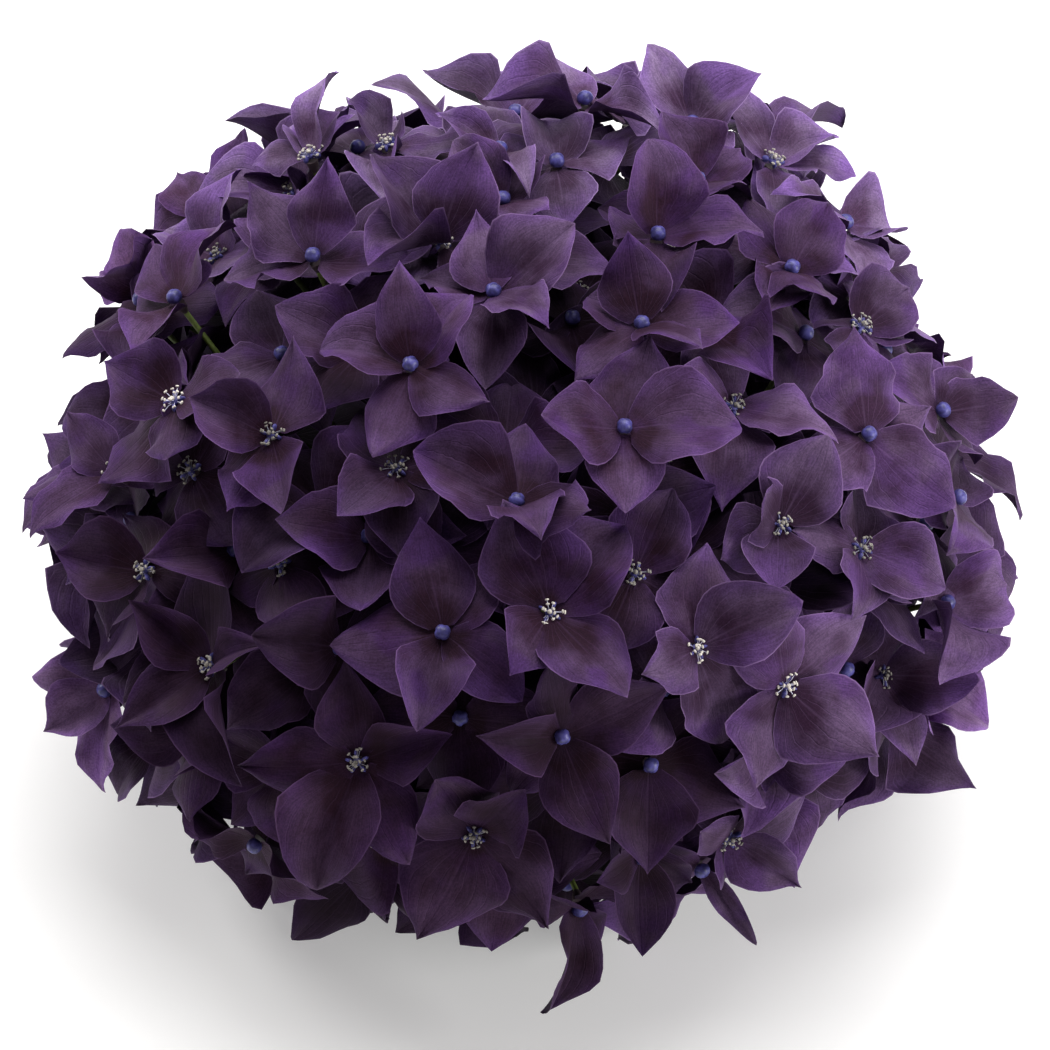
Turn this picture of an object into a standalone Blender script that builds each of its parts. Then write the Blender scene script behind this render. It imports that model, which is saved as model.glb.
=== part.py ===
"""Cut hydrangea flower head: a short stalk, its rays, and sprays of broad four-petalled florets.

The head stands face up on the flat cut of its stalk and on its lowest sepals. The origin is the
middle of that cut, +Z is the head's own axis, and -Y is the side that the leading florets show on.
What looks like petals are sepals, the broad coloured leaves of each sterile floret.
"""
import math
import random

import bmesh
import bpy
import numpy as np
from mathutils import Quaternion, Vector
from mathutils.bvhtree import BVHTree

MM = 0.001

# The head: the florets' centres lie on a flattened ball, open round the stalk
HEAD_RADIUS = 94 * MM
HEAD_HALF_HEIGHT = 76 * MM
HEAD_MIDDLE = Vector((0, 0, 70 * MM))
SKIRT_LATITUDE = math.radians(-44)
FACE_UP = 0.45                  # how far a floret turns from the ball's own normal towards the sky
FACE_STRAY = 0.28               # how far a free floret turns any way from there

# The florets
SEPAL_LENGTH = 20.5 * MM
SEPAL_THICKNESS = 0.8 * MM
SEPAL_EDGE = ((0.28, 0.68), (0.58, 1.0))    # shares of the length out and of the half width there
MIDRIB_TOP = 0.50               # share of the length out at which a sepal is thickest
WEDGE_SHARE = 0.96              # how much of the angle between two notches a sepal may fill
WIDEST_WEDGE = 1.2              # radians, half of the angle of a lone sepal's wedge
EDGE_SAG = 0.03                 # how far the edges droop, over the half width
TIP_SAG = 0.04                  # how far the tip droops, over the length
NECK_REACH = 2.7 * MM           # where a sepal's midrib leaves the bead in the floret's middle
NECK_DROP = 0.3 * MM
INNER_LIFT = 0.3 * MM           # every second sepal springs a little higher than its neighbours
OUTER_LIFT = -0.1 * MM
BED_STEP = 0.13 * MM            # how much higher each next sepal of a floret lies on the table
BROAD = 0.86                    # width over length with four sepals
NARROW = 0.75                   # width over length with five sepals
FIVE_SHARE = 0.18               # share of the free florets that have five sepals
FEWEST_SEPALS = 2               # a floret that finds room for fewer is left out
BEAD_RADIUS = 2.0 * MM
BEAD_RISE = 2.6 * MM
NOTCH_RISE = 0.2 * MM
CUP_DROP = 2.8 * MM
HEAD_SEED = 20                  # seed of the free florets' turns and tilts
FREE_FLORETS = 66
FLORET_SPACING = 30 * MM
DEEP_FLORETS = 12               # small ones set deep in the widest gaps between the rest
DEEP_LAYER = 11 * MM
DEEP_SPACING = 20 * MM
HIDDEN_SPRAYS = 10
SPRAY_SPACING = 60 * MM
LAYERS = (3 * MM, 7 * MM, 0.0, 10 * MM)
UNDER_SHOWN = 4 * MM            # how much deeper the free florets of the shown side are set
SHOWN_SIDE = 0.3                # least cosine between the view and a place on the shown side
SHORT_REACH = 0.5               # a sepal that reaches less in the view is part foreshortened and
SHORT_REST = 11 * MM            # part smaller: its length is this share of its reach and this rest
LEAST_REACH = 1.03              # but never under this many times its reach

# The stems
STALK_HEIGHT = 58 * MM
STALK_FOOT_RADIUS = 4.4 * MM
STALK_TIP_RADIUS = 2.9 * MM
STALK_LEAN = Vector((2.0, 1.0, 0)) * MM
RAY_FOOT_RADIUS = 1.25 * MM
RAY_TIP_RADIUS = 0.95 * MM
RAY_LEVEL = 41 * MM             # where a level ray leaves the stalk
RAY_CLIMB = 0.34                # a ray leaves higher up the further its hub is above the middle
RAY_SHIFTS = [k * MM for k in (0, 3, -3, 6, -6, 9, -9, 12, -12)]
RAY_TURNS = (0.0, 0.3, -0.3, 0.6, -0.6)      # radians round the stalk, away from the hub
RAY_SHARE = 0.74                # share of the way to the hub that is the ray's, the rest the spray's
HUB_REACH = 0.63                # share of the way from the head's middle to its surface
PEDICEL_RADIUS = 0.65 * MM
PEDICEL_SINK = 0.6 * MM         # how far a pedicel's ends are sunk into the hub and the cup
STEM_SINK = 1.0 * MM            # how far a spray's stem runs on past its hub
GAP = 0.32 * MM
NEIGHBOUR_REACH = 62 * MM       # florets further apart than this can't meet

# What a sepal tries until it is clear: shares of its size, and degrees added to its pitch
SIZES_TRIED = (1.0, 0.9, 0.8, 0.7)
TURNS_TRIED = (0, 6, -6, 12, -12, 18, -18, 26, -26, 34, -34, 44)

# The view that the leading florets are placed in: straight from -Y, looking down at 45 degrees
LOOK_DOWN = math.radians(45)
VIEW_RIGHT = Vector((1, 0, 0))
VIEW_UP = Vector((0, math.sin(LOOK_DOWN), math.cos(LOOK_DOWN)))
VIEW_NEAR = Vector((0, -math.cos(LOOK_DOWN), math.sin(LOOK_DOWN)))

# Leading floret of each spray on the shown side: millimetres across and up from the middle of the
# view, depth under the surface in millimetres, and for each sepal the way it points in the view and
# the millimetres that it reaches there; a reach of 0 leaves the sepal lying in the floret's plane
LEADERS = {
    "crest": (14.1, 80.6, -1, ((119, 13), (182, 21), (17, 22), (-16, 17))),
    "crown_left": (-25.9, 71.8, 4, ((80, 7), (140, 10), (5, 0), (-95, 0))),
    "crown_right": (52.2, 68.6, 0, ((119, 24.5), (26, 16), (3, 18.5), (-85, 12))),
    "upper_left": (-40.4, 48.6, 0, ((69, 20), (129, 22), (196, 18.5), (8, 19))),
    "upper_mid": (-4.3, 41.4, 1, ((102, 17), (44, 22.5), (163, 16), (263, 16.5), (-45, 17))),
    "upper_right": (28.6, 52.9, 0, ((94, 21), (150, 11), (-3, 21.5), (-85, 14))),
    "side_left": (-68.2, 19.8, 0, ((20, 15), (149, 18), (217, 24), (255, 11))),
    "middle_left": (-20.8, 26.7, 0, ((95, 21), (53, 19.5), (165, 20), (245, 19), (-26, 18))),
    "middle_right": (21.8, 14.3, -1, ((74, 20.5), (173, 17.5), (-2, 23.5), (-88, 16))),
    "side_right": (70.6, 12.9, 0, ((109, 22), (26, 16), (-48, 22.5), (215, 12))),
    "lower_left": (-61.0, -32.9, 0, ((96, 25), (17, 13.5), (135, 20.5), (217, 23), (-78, 25))),
    "lower_mid": (6.9, -22.5, 0, ((114, 24), (50, 24), (-48, 23.5), (237, 14))),
    "lower_right": (54.1, -37.1, 0, ((39, 22.5), (99, 14.5), (-46, 23.5), (257, 21))),
    "skirt_left": (-31.4, -52.2, 1, ((182, 24.5), (99, 21), (17, 21), (251, 28), (-62, 23))),
    "skirt_right": (9.4, -47.1, 0, ((26, 23.5), (-66, 23.5), (179, 18), (230, 16), (100, 14))),
}
# Other florets that show face on or stand at the rim, given in the same way
FELLOWS = {
    "corner_left": (-41.4, 69.6, 1, ((75, 19.3), (125, 9), (168, 14.5), (45, 11))),
    "upper_corner": (-64.3, 59.0, 3, ((121, 11.5), (198, 15.5), (59, 19.5), (-40, 12))),
    "upper_far_left": (-68.2, 40.4, 2, ((48, 19), (154, 12), (222, 13.5), (114, 14))),
    "rim_upper_left": (-77.1, 43.7, 6, ((156, 11.5), (108, 13), (232, 16), (58, 17), (-30, 0))),
    "crown_mid": (-14.7, 52.0, 4, ((127, 24), (61, 21), (-30, 0), (215, 0))),
    "crown_back": (-3.1, 70.2, 4, ((151, 15), (26, 10), (-60, 0), (-130, 0))),
    "crown_bud": (-2.4, 60.0, 5, ((65, 16), (-8, 9.5), (131, 15.5), (-100, 0))),
    "crown_top": (35.7, 75.7, 0, ((140, 17.5), (54, 13), (9, 15.5), (-60, 9))),
    "crown_inner": (36.7, 64.1, 2, ((131, 14), (-42, 11), (-75, 10), (40, 12))),
    "crown_far_right": (66.5, 55.7, 1, ((167, 17), (116, 11), (-10, 10), (-66, 13.5))),
    "upper_inner": (25.3, 34.9, 2, ((109, 17), (155, 11.5), (6, 20.5), (-33, 15.5), (212, 15))),
    "upper_outer": (55.5, 46.3, 1, ((61, 17), (-57, 10.5), (124, 17), (240, 9))),
    "side_upper_right": (69.6, 34.9, 2, ((137, 9), (-8, 9), (40, 14.5), (-100, 8))),
    "rim_upper_right": (85.7, 17.8, 2, ((46, 12), (-4, 13), (-48, 13.5), (150, 0))),
    "rim_mid_right": (88.8, 0.4, 2, ((-38, 11), (70, 10), (150, 0), (-110, 0))),
    "side_low_right": (69.4, -9.8, 3, ((158, 12.5), (90, 14.5), (-28, 18.5), (265, 14))),
    "rim_right": (86.3, -20.6, 1, ((93, 15.5), (17, 13), (-48, 15), (268, 16.5))),
    "rim_low_right": (83.7, -38.4, 3, ((-86, 22), (-52, 13), (22, 14), (180, 0))),
    "right_low_bud": (75.1, -45.1, 4, ((108, 16.5), (40, 11), (234, 20), (-70, 11))),
    "middle_right_open": (53.1, -4.9, 5, ((64, 20), (208, 10.5), (271, 12), (140, 10))),
    "middle_far_left": (-48.8, 12.9, 2, ((-80, 17.5), (236, 17), (165, 15.5), (76, 20.5), (42, 13.5))),
    "middle_deep": (-23.7, 6.3, 6, ((215, 14.5), (268, 15), (120, 0), (20, 0))),
    "middle_mid": (0.4, -0.4, 1, ((155, 23), (84, 17), (-13, 17.5), (-65, 15))),
    "rim_left": (-80.4, 5.5, 2, ((192, 20.5), (127, 15.5), (224, 21.5), (50, 8))),
    "left_deep": (-64.9, 5.7, 5, ((-62, 16), (224, 18), (150, 12), (60, 0))),
    "left_low_open": (-74.1, -14.1, 3, ((168, 20), (17, 16), (232, 18), (110, 12))),
    "lower_left_deep": (-46.9, -12.9, 5, ((-25, 15.5), (-85, 13), (205, 12), (95, 0))),
    "lower_inner_left": (-14.3, -26.5, 0, ((186, 23), (101, 23.5), (57, 18), (-40, 20), (254, 20))),
    "lower_inner_right": (36.1, -29.6, 0, ((82, 22), (24, 23), (-63, 25), (205, 13))),
    "lower_deep": (23.9, -14.7, 6, ((65, 0), (155, 0), (-115, 0), (-25, 0))),
    "low_bud": (26.9, -52.7, 5, ((-92, 22), (-25, 22), (35, 0), (170, 0))),
    "skirt_mid": (-8.2, -66.9, 2, ((119, 16.5), (242, 25), (-52, 24.5), (40, 13))),
    "skirt_far_right": (43.1, -67.4, 2, ((100, 14.5), (30, 18), (-35, 17.5), (-95, 10), (165, 7))),
    "strip_right": (37.1, -73.5, 4, ((-54, 19.5), (60, 0), (150, 0), (-140, 0))),
    "bottom_mid": (25.5, -71.0, 4, ((-88, 21.5), (-30, 12), (200, 12), (90, 0))),
    "tail": (12.9, -81.2, 3, ((253, 24.3), (-71, 11), (40, 0), (150, 0))),
    "bottom_left": (-31.6, -77.1, 5, ((221, 19), (-10, 10), (100, 0), (-75, 9))),
    "bottom_inner": (-9.2, -79.2, 6, ((213, 18), (-20, 13), (60, 0), (140, 0))),
    "rim_low_left": (-84.7, -39.2, 2, ((174, 17.5), (225, 13.5), (267, 21.5), (41, 12))),
    "crown_behind": (8.4, 67.8, 5, ((100, 11), (18, 16), (168, 15), (-80, 12))),
    "rim_high_right": (72.5, 49.0, 5, ((50, 9), (-52, 12), (150, 12), (-120, 12))),
    "rim_lowest_left": (-81.0, -53.7, 3, ((188, 8), (243, 12.5), (110, 0), (-20, 0))),
    "rim_bottom_left": (-68.4, -60.8, 3, ((200, 14), (-40, 17.5), (110, 0), (30, 0))),
}
# Florets whose sepals are slimmer than the rest, as a share of the usual width
SLIM = {"crest": 0.7, "crown_left": 0.6, "crown_right": 0.66, "crown_back": 0.55, "crown_bud": 0.8,
        "corner_left": 0.5, "upper_corner": 0.75, "upper_left": 0.82, "upper_right": 0.76,
        "middle_left": 0.9, "lower_left": 0.76, "lower_inner_right": 0.92, "rim_left": 0.7,
        "rim_low_left": 0.85, "skirt_left": 0.82, "skirt_right": 0.9, "strip_right": 0.3,
        "bottom_mid": 0.7, "tail": 0.55}
# How far the free florets at the rim of the view stand out from the ball, in millimetres: from the
# right of the view over its top, left and bottom, one value every 15 degrees
RIM_RISE = (2, -4, -1, 7, 5, 1, -8, -16, -1, 8, -6, -14, -7, -7, 12, 6, -7, -5, -5, 4, -7, -2, 5, 6)
RIM_DEPTH = 0.6                 # cosine to the view at which a place is no longer at the rim

rng = random.Random(HEAD_SEED)


class Floret:
    """One sterile floret: its centre, the way it faces, and the way and length of each sepal."""

    def __init__(self, place, depth, facing, sepals):
        self.centre = HEAD_MIDDLE + place - ball_normal(place) * depth
        self.place = place
        self.depth = depth
        self.facing = facing
        first = facing.orthogonal().normalized()
        second = facing.cross(first)
        angle_of = [math.atan2(s.dot(second), s.dot(first)) for s in sepals]
        order = sorted(range(len(sepals)), key=lambda k: angle_of[k])
        angles = [angle_of[k] for k in order]
        count = len(angles)
        gaps = [(angles[(k + 1) % count] - angles[k]) % math.tau for k in range(count)]
        notches = [a + gap / 2 for a, gap in zip(angles, gaps)]
        self.lengths = [sepals[k].length for k in order]
        self.pitches = [math.asin(sepals[k].normalized().dot(facing)) for k in order]
        self.ways = [first * math.cos(a) + second * math.sin(a) for a in angles]
        self.rooms = [(gaps[k - 1] / 2, gaps[k] / 2) for k in range(count)]
        self.notches = [first * math.cos(a) + second * math.sin(a) for a in notches]
        self.breadth = BROAD if count == 4 else NARROW
        self.sepals = [None] * count


def ball_normal(place):
    """Outward normal of the flattened ball at a place given from the head's middle."""
    return Vector((place.x / HEAD_RADIUS ** 2, place.y / HEAD_RADIUS ** 2,
                   place.z / HEAD_HALF_HEIGHT ** 2)).normalized()


def on_ball(across, up):
    """Nearest point of the ball under a point of the view, or its rim where the point is outside."""
    scale = Vector((1 / HEAD_RADIUS, 1 / HEAD_RADIUS, 1 / HEAD_HALF_HEIGHT))
    flat = (VIEW_RIGHT * across + VIEW_UP * up) * scale
    near = VIEW_NEAR * scale
    half = flat.dot(near) / near.length_squared
    root = half * half - (flat.length_squared - 1) / near.length_squared
    point = flat + near * (math.sqrt(max(root, 0)) - half)
    point.normalize()
    return Vector((point.x / scale.x, point.y / scale.y, point.z / scale.z))


def spread(fixed, count, reach, steps=80):
    """Add points on the ball, each as far from the rest as it can be, then let them push apart."""
    size = np.array([HEAD_RADIUS, HEAD_RADIUS, HEAD_HALF_HEIGHT])
    skirt = math.sin(SKIRT_LATITUDE)
    turn = np.arange(count * 2) + 0.5
    height = 1 - turn / (count * 2) * (1 - skirt)
    ring = np.sqrt(1 - height * height)
    angle = turn * math.pi * (3 - math.sqrt(5))
    spiral = np.stack([ring * np.cos(angle), ring * np.sin(angle), height], 1) * size
    taken = np.array([tuple(p) for p in fixed])
    room = np.linalg.norm(spiral[:, None] - taken[None], axis=2).min(1)
    free = np.empty((0, 3))
    for _ in range(count):
        best = spiral[int(np.argmax(room))]
        free = np.vstack([free, best])
        room = np.minimum(room, np.linalg.norm(spiral - best, axis=1))
    for _ in range(steps):
        apart = free[:, None] - np.concatenate([taken, free])[None]
        far = np.linalg.norm(apart, axis=2)
        far[far < 1e-9] = 1e9
        push = np.clip(reach - far, 0, None) / far
        unit = (free + 0.25 * (apart * push[..., None]).sum(1)) / size
        unit /= np.linalg.norm(unit, axis=1)[:, None]
        low = unit[:, 2] < skirt
        unit[low, :2] *= (math.cos(SKIRT_LATITUDE) / np.linalg.norm(unit[low, :2], axis=1))[:, None]
        unit[low, 2] = skirt
        free = unit * size
    return [Vector(p) for p in free]


def shown_floret(across, up, depth, sepals):
    """A floret placed in the view, whose sepals point and reach the way they show there."""
    target = Vector((across, up)) * MM
    aim = target
    for _ in range(5):
        place = on_ball(aim.x, aim.y)
        out = ball_normal(place)
        aim = target + Vector((out.dot(VIEW_RIGHT), out.dot(VIEW_UP))) * depth * MM
    facing = (out + Vector((0, 0, FACE_UP))).normalized()
    lean = VIEW_NEAR.dot(facing)
    spokes = []
    for heading, reach in sepals:
        angle = math.radians(heading)
        flat = VIEW_RIGHT * math.cos(angle) + VIEW_UP * math.sin(angle)
        in_plane = flat - VIEW_NEAR * (flat.dot(facing) / lean)
        if not reach:
            spokes.append(in_plane.normalized() * SEPAL_LENGTH)
            continue
        reach *= MM
        length = max(LEAST_REACH * reach, SHORT_REACH * reach + SHORT_REST)
        rise = math.sqrt(length * length - reach * reach)
        spokes.append(min((flat * reach + VIEW_NEAR * rise, flat * reach - VIEW_NEAR * rise),
                          key=lambda spoke: abs(spoke.dot(facing))))
    return Floret(place, depth * MM, facing, spokes)


def free_floret(place, depth):
    """A floret that the view doesn't settle: four or five sepals at a seeded turn."""
    count = 5 if rng.random() < FIVE_SHARE else 4
    stray = Vector((rng.uniform(-1, 1), rng.uniform(-1, 1), rng.uniform(-1, 1))) * FACE_STRAY
    facing = (ball_normal(place) + Vector((0, 0, FACE_UP)) + stray).normalized()
    length = SEPAL_LENGTH * rng.uniform(0.92, 1.12)
    pitch = rng.uniform(-8, 8)
    turn = rng.uniform(0, math.tau)
    first = facing.orthogonal().normalized()
    second = facing.cross(first)
    spokes = []
    for k in range(count):
        angle = turn + k * math.tau / count + math.radians(rng.uniform(-9, 9))
        rise = math.radians(pitch + rng.uniform(-13, 13))
        flat = first * math.cos(angle) + second * math.sin(angle)
        spokes.append((flat * math.cos(rise) + facing * math.sin(rise)) * length)
    return Floret(place, depth, facing, spokes)


def rim_rise(place):
    """How far a free floret stands out, which fades from the rim of the view to its middle."""
    turn = math.degrees(math.atan2(place.dot(VIEW_UP), place.dot(VIEW_RIGHT))) % 360
    step = 360 / len(RIM_RISE)
    first = int(turn / step) % len(RIM_RISE)
    share = turn / step - int(turn / step)
    rise = RIM_RISE[first] * (1 - share) + RIM_RISE[(first + 1) % len(RIM_RISE)] * share
    return rise * MM * max(1 - abs(VIEW_NEAR.dot(ball_normal(place))) / RIM_DEPTH, 0)


def layer_for(place, placed):
    """The first layer that no close neighbour has, or else the one least used among them."""
    close = [f.depth for f in placed if (f.place - place).length < 1.15 * FLORET_SPACING]
    return min(LAYERS, key=lambda layer: sum(abs(depth - layer) < 2 * MM for depth in close))


def nearest(leaders, place):
    """Name of the spray whose leading floret is nearest to a place."""
    return min(leaders, key=lambda name: (leaders[name] - place).length)


def grow_florets():
    """All florets, leaders first, each with the name of the spray that it belongs to."""
    rows = {**LEADERS, **FELLOWS}
    florets = [shown_floret(*row) for row in rows.values()]
    for name, floret in zip(rows, florets):
        floret.breadth *= SLIM.get(name, 1.0)
    leaders = dict(zip(LEADERS, [f.place for f in florets]))
    hidden = spread(list(leaders.values()), HIDDEN_SPRAYS, SPRAY_SPACING)
    for k, place in enumerate(hidden):
        leaders["back_%d" % (k + 1)] = place
    fixed = [f.place for f in florets] + hidden
    for place in hidden + spread(fixed, FREE_FLORETS, FLORET_SPACING):
        depth = layer_for(place, florets) - rim_rise(place)
        if VIEW_NEAR.dot(ball_normal(place)) > SHOWN_SIDE:
            depth += UNDER_SHOWN
        florets.append(free_floret(place, depth))
    for place in spread([f.place for f in florets], DEEP_FLORETS, DEEP_SPACING):
        florets.append(free_floret(place, DEEP_LAYER - rim_rise(place)))
    for floret in florets:
        floret.spray = nearest(leaders, floret.place)
    return florets, leaders


def tube(points, radii, sides, level=False):
    """A closed tapering tube with flat ends, as points and faces; its rings may all be level."""
    corners = []
    side = None
    for k, point in enumerate(points):
        along = (points[min(k + 1, len(points) - 1)] - points[max(k - 1, 0)]).normalized()
        if level:
            along = Vector((0, 0, 1))
        if side is None:
            side = along.orthogonal()
        side = (side - along * side.dot(along)).normalized()
        across = along.cross(side)
        for s in range(sides):
            angle = math.tau * s / sides
            corners.append(point + (side * math.cos(angle) + across * math.sin(angle)) * radii[k])
    faces = [tuple(reversed(range(sides)))]
    for k in range(len(points) - 1):
        for s in range(sides):
            a, b = k * sides + s, k * sides + (s + 1) % sides
            faces.append((a, b, b + sides, a + sides))
    faces.append(tuple(range((len(points) - 1) * sides, len(points) * sides)))
    return corners, faces


def on_table(point, least):
    """A point that would lie under the table is laid on it."""
    return Vector((point.x, point.y, max(point.z, least)))


def sepal_points(floret, k, pitch, scale, swell=0.0):
    """Outline from left to right round the tip, then midrib points; swell is a gap all round."""
    way = floret.ways[k]
    lift = INNER_LIFT if k % 2 else OUTER_LIFT
    bed = BED_STEP * k
    side = floret.facing.cross(way)
    along = way * math.cos(pitch) + floret.facing * math.sin(pitch)
    up = floret.facing * math.cos(pitch) - way * math.sin(pitch)
    length = floret.lengths[k] * scale
    root = floret.centre + floret.facing * lift
    thick = SEPAL_THICKNESS + swell

    def edge(share, width, hand):
        room = floret.rooms[k][1 if hand > 0 else 0] * WEDGE_SHARE
        reach = length * share * math.cos(pitch) * math.tan(min(room, WIDEST_WEDGE))
        half = min(length * floret.breadth / 2 * width, reach)
        return root + along * length * share + side * hand * (half + swell) - up * EDGE_SAG * half

    near, far = SEPAL_EDGE
    tip = root + along * (length + swell) - up * TIP_SAG * length
    outline = [edge(*near, -1), edge(*far, -1), tip, edge(*far, 1), edge(*near, 1)]
    middle = root + along * length * MIDRIB_TOP
    return {
        "outline": [on_table(p, bed) for p in outline],
        "top": on_table(middle + up * thick, bed + SEPAL_THICKNESS),
        "neck": root + along * NECK_REACH + up * (thick - NECK_DROP),
        "rim": up * swell,
    }


def fan(faces, loop, middle):
    """Triangles from a middle point to each edge of a closed loop of points."""
    for a, b in zip(loop, loop[1:] + loop[:1]):
        faces.append((a, b, middle))


def floret_solid(floret, only=None, swell=0.0):
    """A floret as one closed star: bead above, cup below, and its sepals as thin lenses between.

    With only set, just that sepal's share of the star is made, which is open at its two sides.
    """
    up = floret.facing
    count = len(floret.ways)
    points = [floret.centre + up * (BEAD_RISE + swell), floret.centre - up * (CUP_DROP + swell)]
    points += [floret.centre + notch * BEAD_RADIUS + up * NOTCH_RISE for notch in floret.notches]
    faces = []
    for k in range(count) if only is None else [only]:
        before, after = 2 + (k - 1) % count, 2 + k
        if floret.sepals[k] is None:
            faces.append((before, after, 0))
            faces.append((after, before, 1))
            continue
        made = sepal_points(floret, k, *floret.sepals[k], swell)
        start = len(points)
        if swell:
            points += [p + made["rim"] for p in made["outline"]]
            points += [p - made["rim"] for p in made["outline"]]
            upper, lower = list(range(start, start + 5)), list(range(start + 5, start + 10))
            for a, b, c, d in zip(upper, upper[1:], lower, lower[1:]):
                faces.append((a, c, d))
                faces.append((a, d, b))
        else:
            points += made["outline"]
            upper = lower = list(range(start, start + 5))
        start = len(points)
        points += [made["top"], made["neck"]]
        neck = start + 1
        fan(faces, upper + [neck], start)
        faces += [(before, upper[0], neck), (upper[-1], after, neck), (before, neck, 0), (neck, after, 0)]
        left, wide_left, tip, wide_right, right = lower
        faces += [(1, after, right), (1, right, left), (1, left, before),
                  (left, right, wide_right), (left, wide_right, wide_left),
                  (wide_left, wide_right, tip)]
    return points, faces


def cuts_itself(shape):
    """Whether two faces of a shape that share no corner run through each other."""
    own = tree(shape)
    faces = shape[1]
    return any(a < b and not set(faces[a]) & set(faces[b]) for a, b in own.overlap(own))


def tree(shape):
    """A search tree over a shape's faces."""
    return BVHTree.FromPolygons(shape[0], [list(f) for f in shape[1]])


def stalk_point(height):
    """The stalk's axis at a height, with its slight lean."""
    share = height / STALK_HEIGHT
    return STALK_LEAN * share * share + Vector((0, 0, height))


def stalk_radius(height):
    share = min(max(height / STALK_HEIGHT, 0), 1)
    return STALK_FOOT_RADIUS + (STALK_TIP_RADIUS - STALK_FOOT_RADIUS) * share


def stalk_shape():
    heights = [STALK_HEIGHT * k / 6 for k in range(7)]
    return tube([stalk_point(h) for h in heights], [stalk_radius(h) for h in heights], 16, level=True)


def ray_line(hub, turn, shift):
    """Foot and tip of the ray that leads straight to a spray's hub, clear of the stalk."""
    height = RAY_LEVEL + (hub.z - HEAD_MIDDLE.z) * RAY_CLIMB + shift
    axis = stalk_point(min(height, STALK_HEIGHT - 1 * MM))
    out = Vector((hub.x - axis.x, hub.y - axis.y, 0)).normalized()
    out.rotate(Quaternion((0, 0, 1), turn))
    steep = abs((hub - axis).normalized().z)
    foot = axis + out * (stalk_radius(axis.z) + GAP + RAY_FOOT_RADIUS * steep)
    return foot, foot.lerp(hub, RAY_SHARE)


def ray_shape(line, swell=0.0):
    """The ray as a six-sided tapering limb; swell is a gap all round."""
    foot, tip = line
    middle_radius = (RAY_FOOT_RADIUS + RAY_TIP_RADIUS) / 2
    radii = [r + swell for r in (RAY_FOOT_RADIUS, middle_radius, RAY_TIP_RADIUS)]
    return tube([foot, foot.lerp(tip, 0.5), tip], radii, 6)


def spray_hub(florets):
    """Where a spray's stem branches: inside, under the middle of its florets."""
    middle = sum((f.place for f in florets), Vector()) / len(florets)
    size = Vector((middle.x / HEAD_RADIUS, middle.y / HEAD_RADIUS, middle.z / HEAD_HALF_HEIGHT))
    return HEAD_MIDDLE + middle / size.length * HUB_REACH


def pedicel(hub, floret):
    """A floret's thin stem, straight from the hub into the cup under the floret."""
    end = floret.centre - floret.facing * PEDICEL_SINK
    start = hub - (end - hub).normalized() * PEDICEL_SINK
    return tube([start, end], [PEDICEL_RADIUS, PEDICEL_RADIUS], 3)


def grow_sprays(florets, leaders):
    """Each spray's ray, stem and pedicels; a ray moves along and round the stalk until it is clear."""
    sprays = {}
    taken = []
    for name in leaders:
        own = [f for f in florets if f.spray == name]
        hub = spray_hub(own)
        for turn, shift in ((t, s) for t in RAY_TURNS for s in RAY_SHIFTS):
            line = ray_line(hub, turn, shift)
            guard = tree(ray_shape(line, GAP))
            if not any(guard.overlap(other) for other in taken):
                break
        else:
            raise RuntimeError("no clear place for the ray of " + name)
        onward = (line[1] - line[0]).normalized()
        stem = tube([line[1] + onward * GAP, hub + onward * STEM_SINK],
                    [RAY_TIP_RADIUS, RAY_TIP_RADIUS], 5)
        for floret in own:
            floret.pedicel = pedicel(hub, floret)
            floret.trees = [tree(floret.pedicel), tree(floret_solid(floret))]
            taken += floret.trees
        ray = ray_shape(line)
        taken += [tree(ray), tree(stem)]
        sprays[name] = {"florets": own, "stem": stem, "ray": ray}
    return sprays


def is_clear(floret, k, florets, stems):
    """Whether a sepal keeps its gap to every other floret and to every ray and stem."""
    probe = tree(floret_solid(floret, k, GAP))
    for other in florets:
        if other is floret or (other.centre - floret.centre).length > NEIGHBOUR_REACH:
            continue
        if any(probe.overlap(t) for t in other.trees):
            return False
    return not any(probe.overlap(t) for t in stems)


def set_sepals(florets, stems):
    """Give each floret its sepals, top layers first; one that finds no clear pitch is left out."""
    for floret in sorted(florets, key=lambda f: f.depth):
        for k in range(len(floret.ways)):
            for scale, turn in ((s, t) for s in SIZES_TRIED for t in TURNS_TRIED):
                floret.sepals[k] = (floret.pitches[k] + math.radians(turn), scale)
                if is_clear(floret, k, florets, stems) and not cuts_itself(floret_solid(floret)):
                    floret.trees.append(tree(floret_solid(floret, k)))
                    break
                floret.sepals[k] = None


def clear_scene():
    for thing in list(bpy.data.objects):
        bpy.data.objects.remove(thing)


def finish(name, colour, roughness):
    """A plain matt material from an sRGB colour."""
    material = bpy.data.materials.new(name)
    material.use_nodes = True
    shader = material.node_tree.nodes["Principled BSDF"]
    linear = [(c / 12.92 if c <= 0.04045 else ((c + 0.055) / 1.055) ** 2.4)
              for c in (int(colour[k:k + 2], 16) / 255 for k in (0, 2, 4))]
    shader.inputs["Base Color"].default_value = (*linear, 1)
    shader.inputs["Roughness"].default_value = roughness
    shader.inputs["Metallic"].default_value = 0
    return material


def new_object(name, shape, material, home):
    mesh = bpy.data.meshes.new(name)
    mesh.from_pydata([tuple(p) for p in shape[0]], [], shape[1])
    mesh.materials.append(material)
    thing = bpy.data.objects.new(name, mesh)
    home.objects.link(thing)
    return thing


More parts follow.
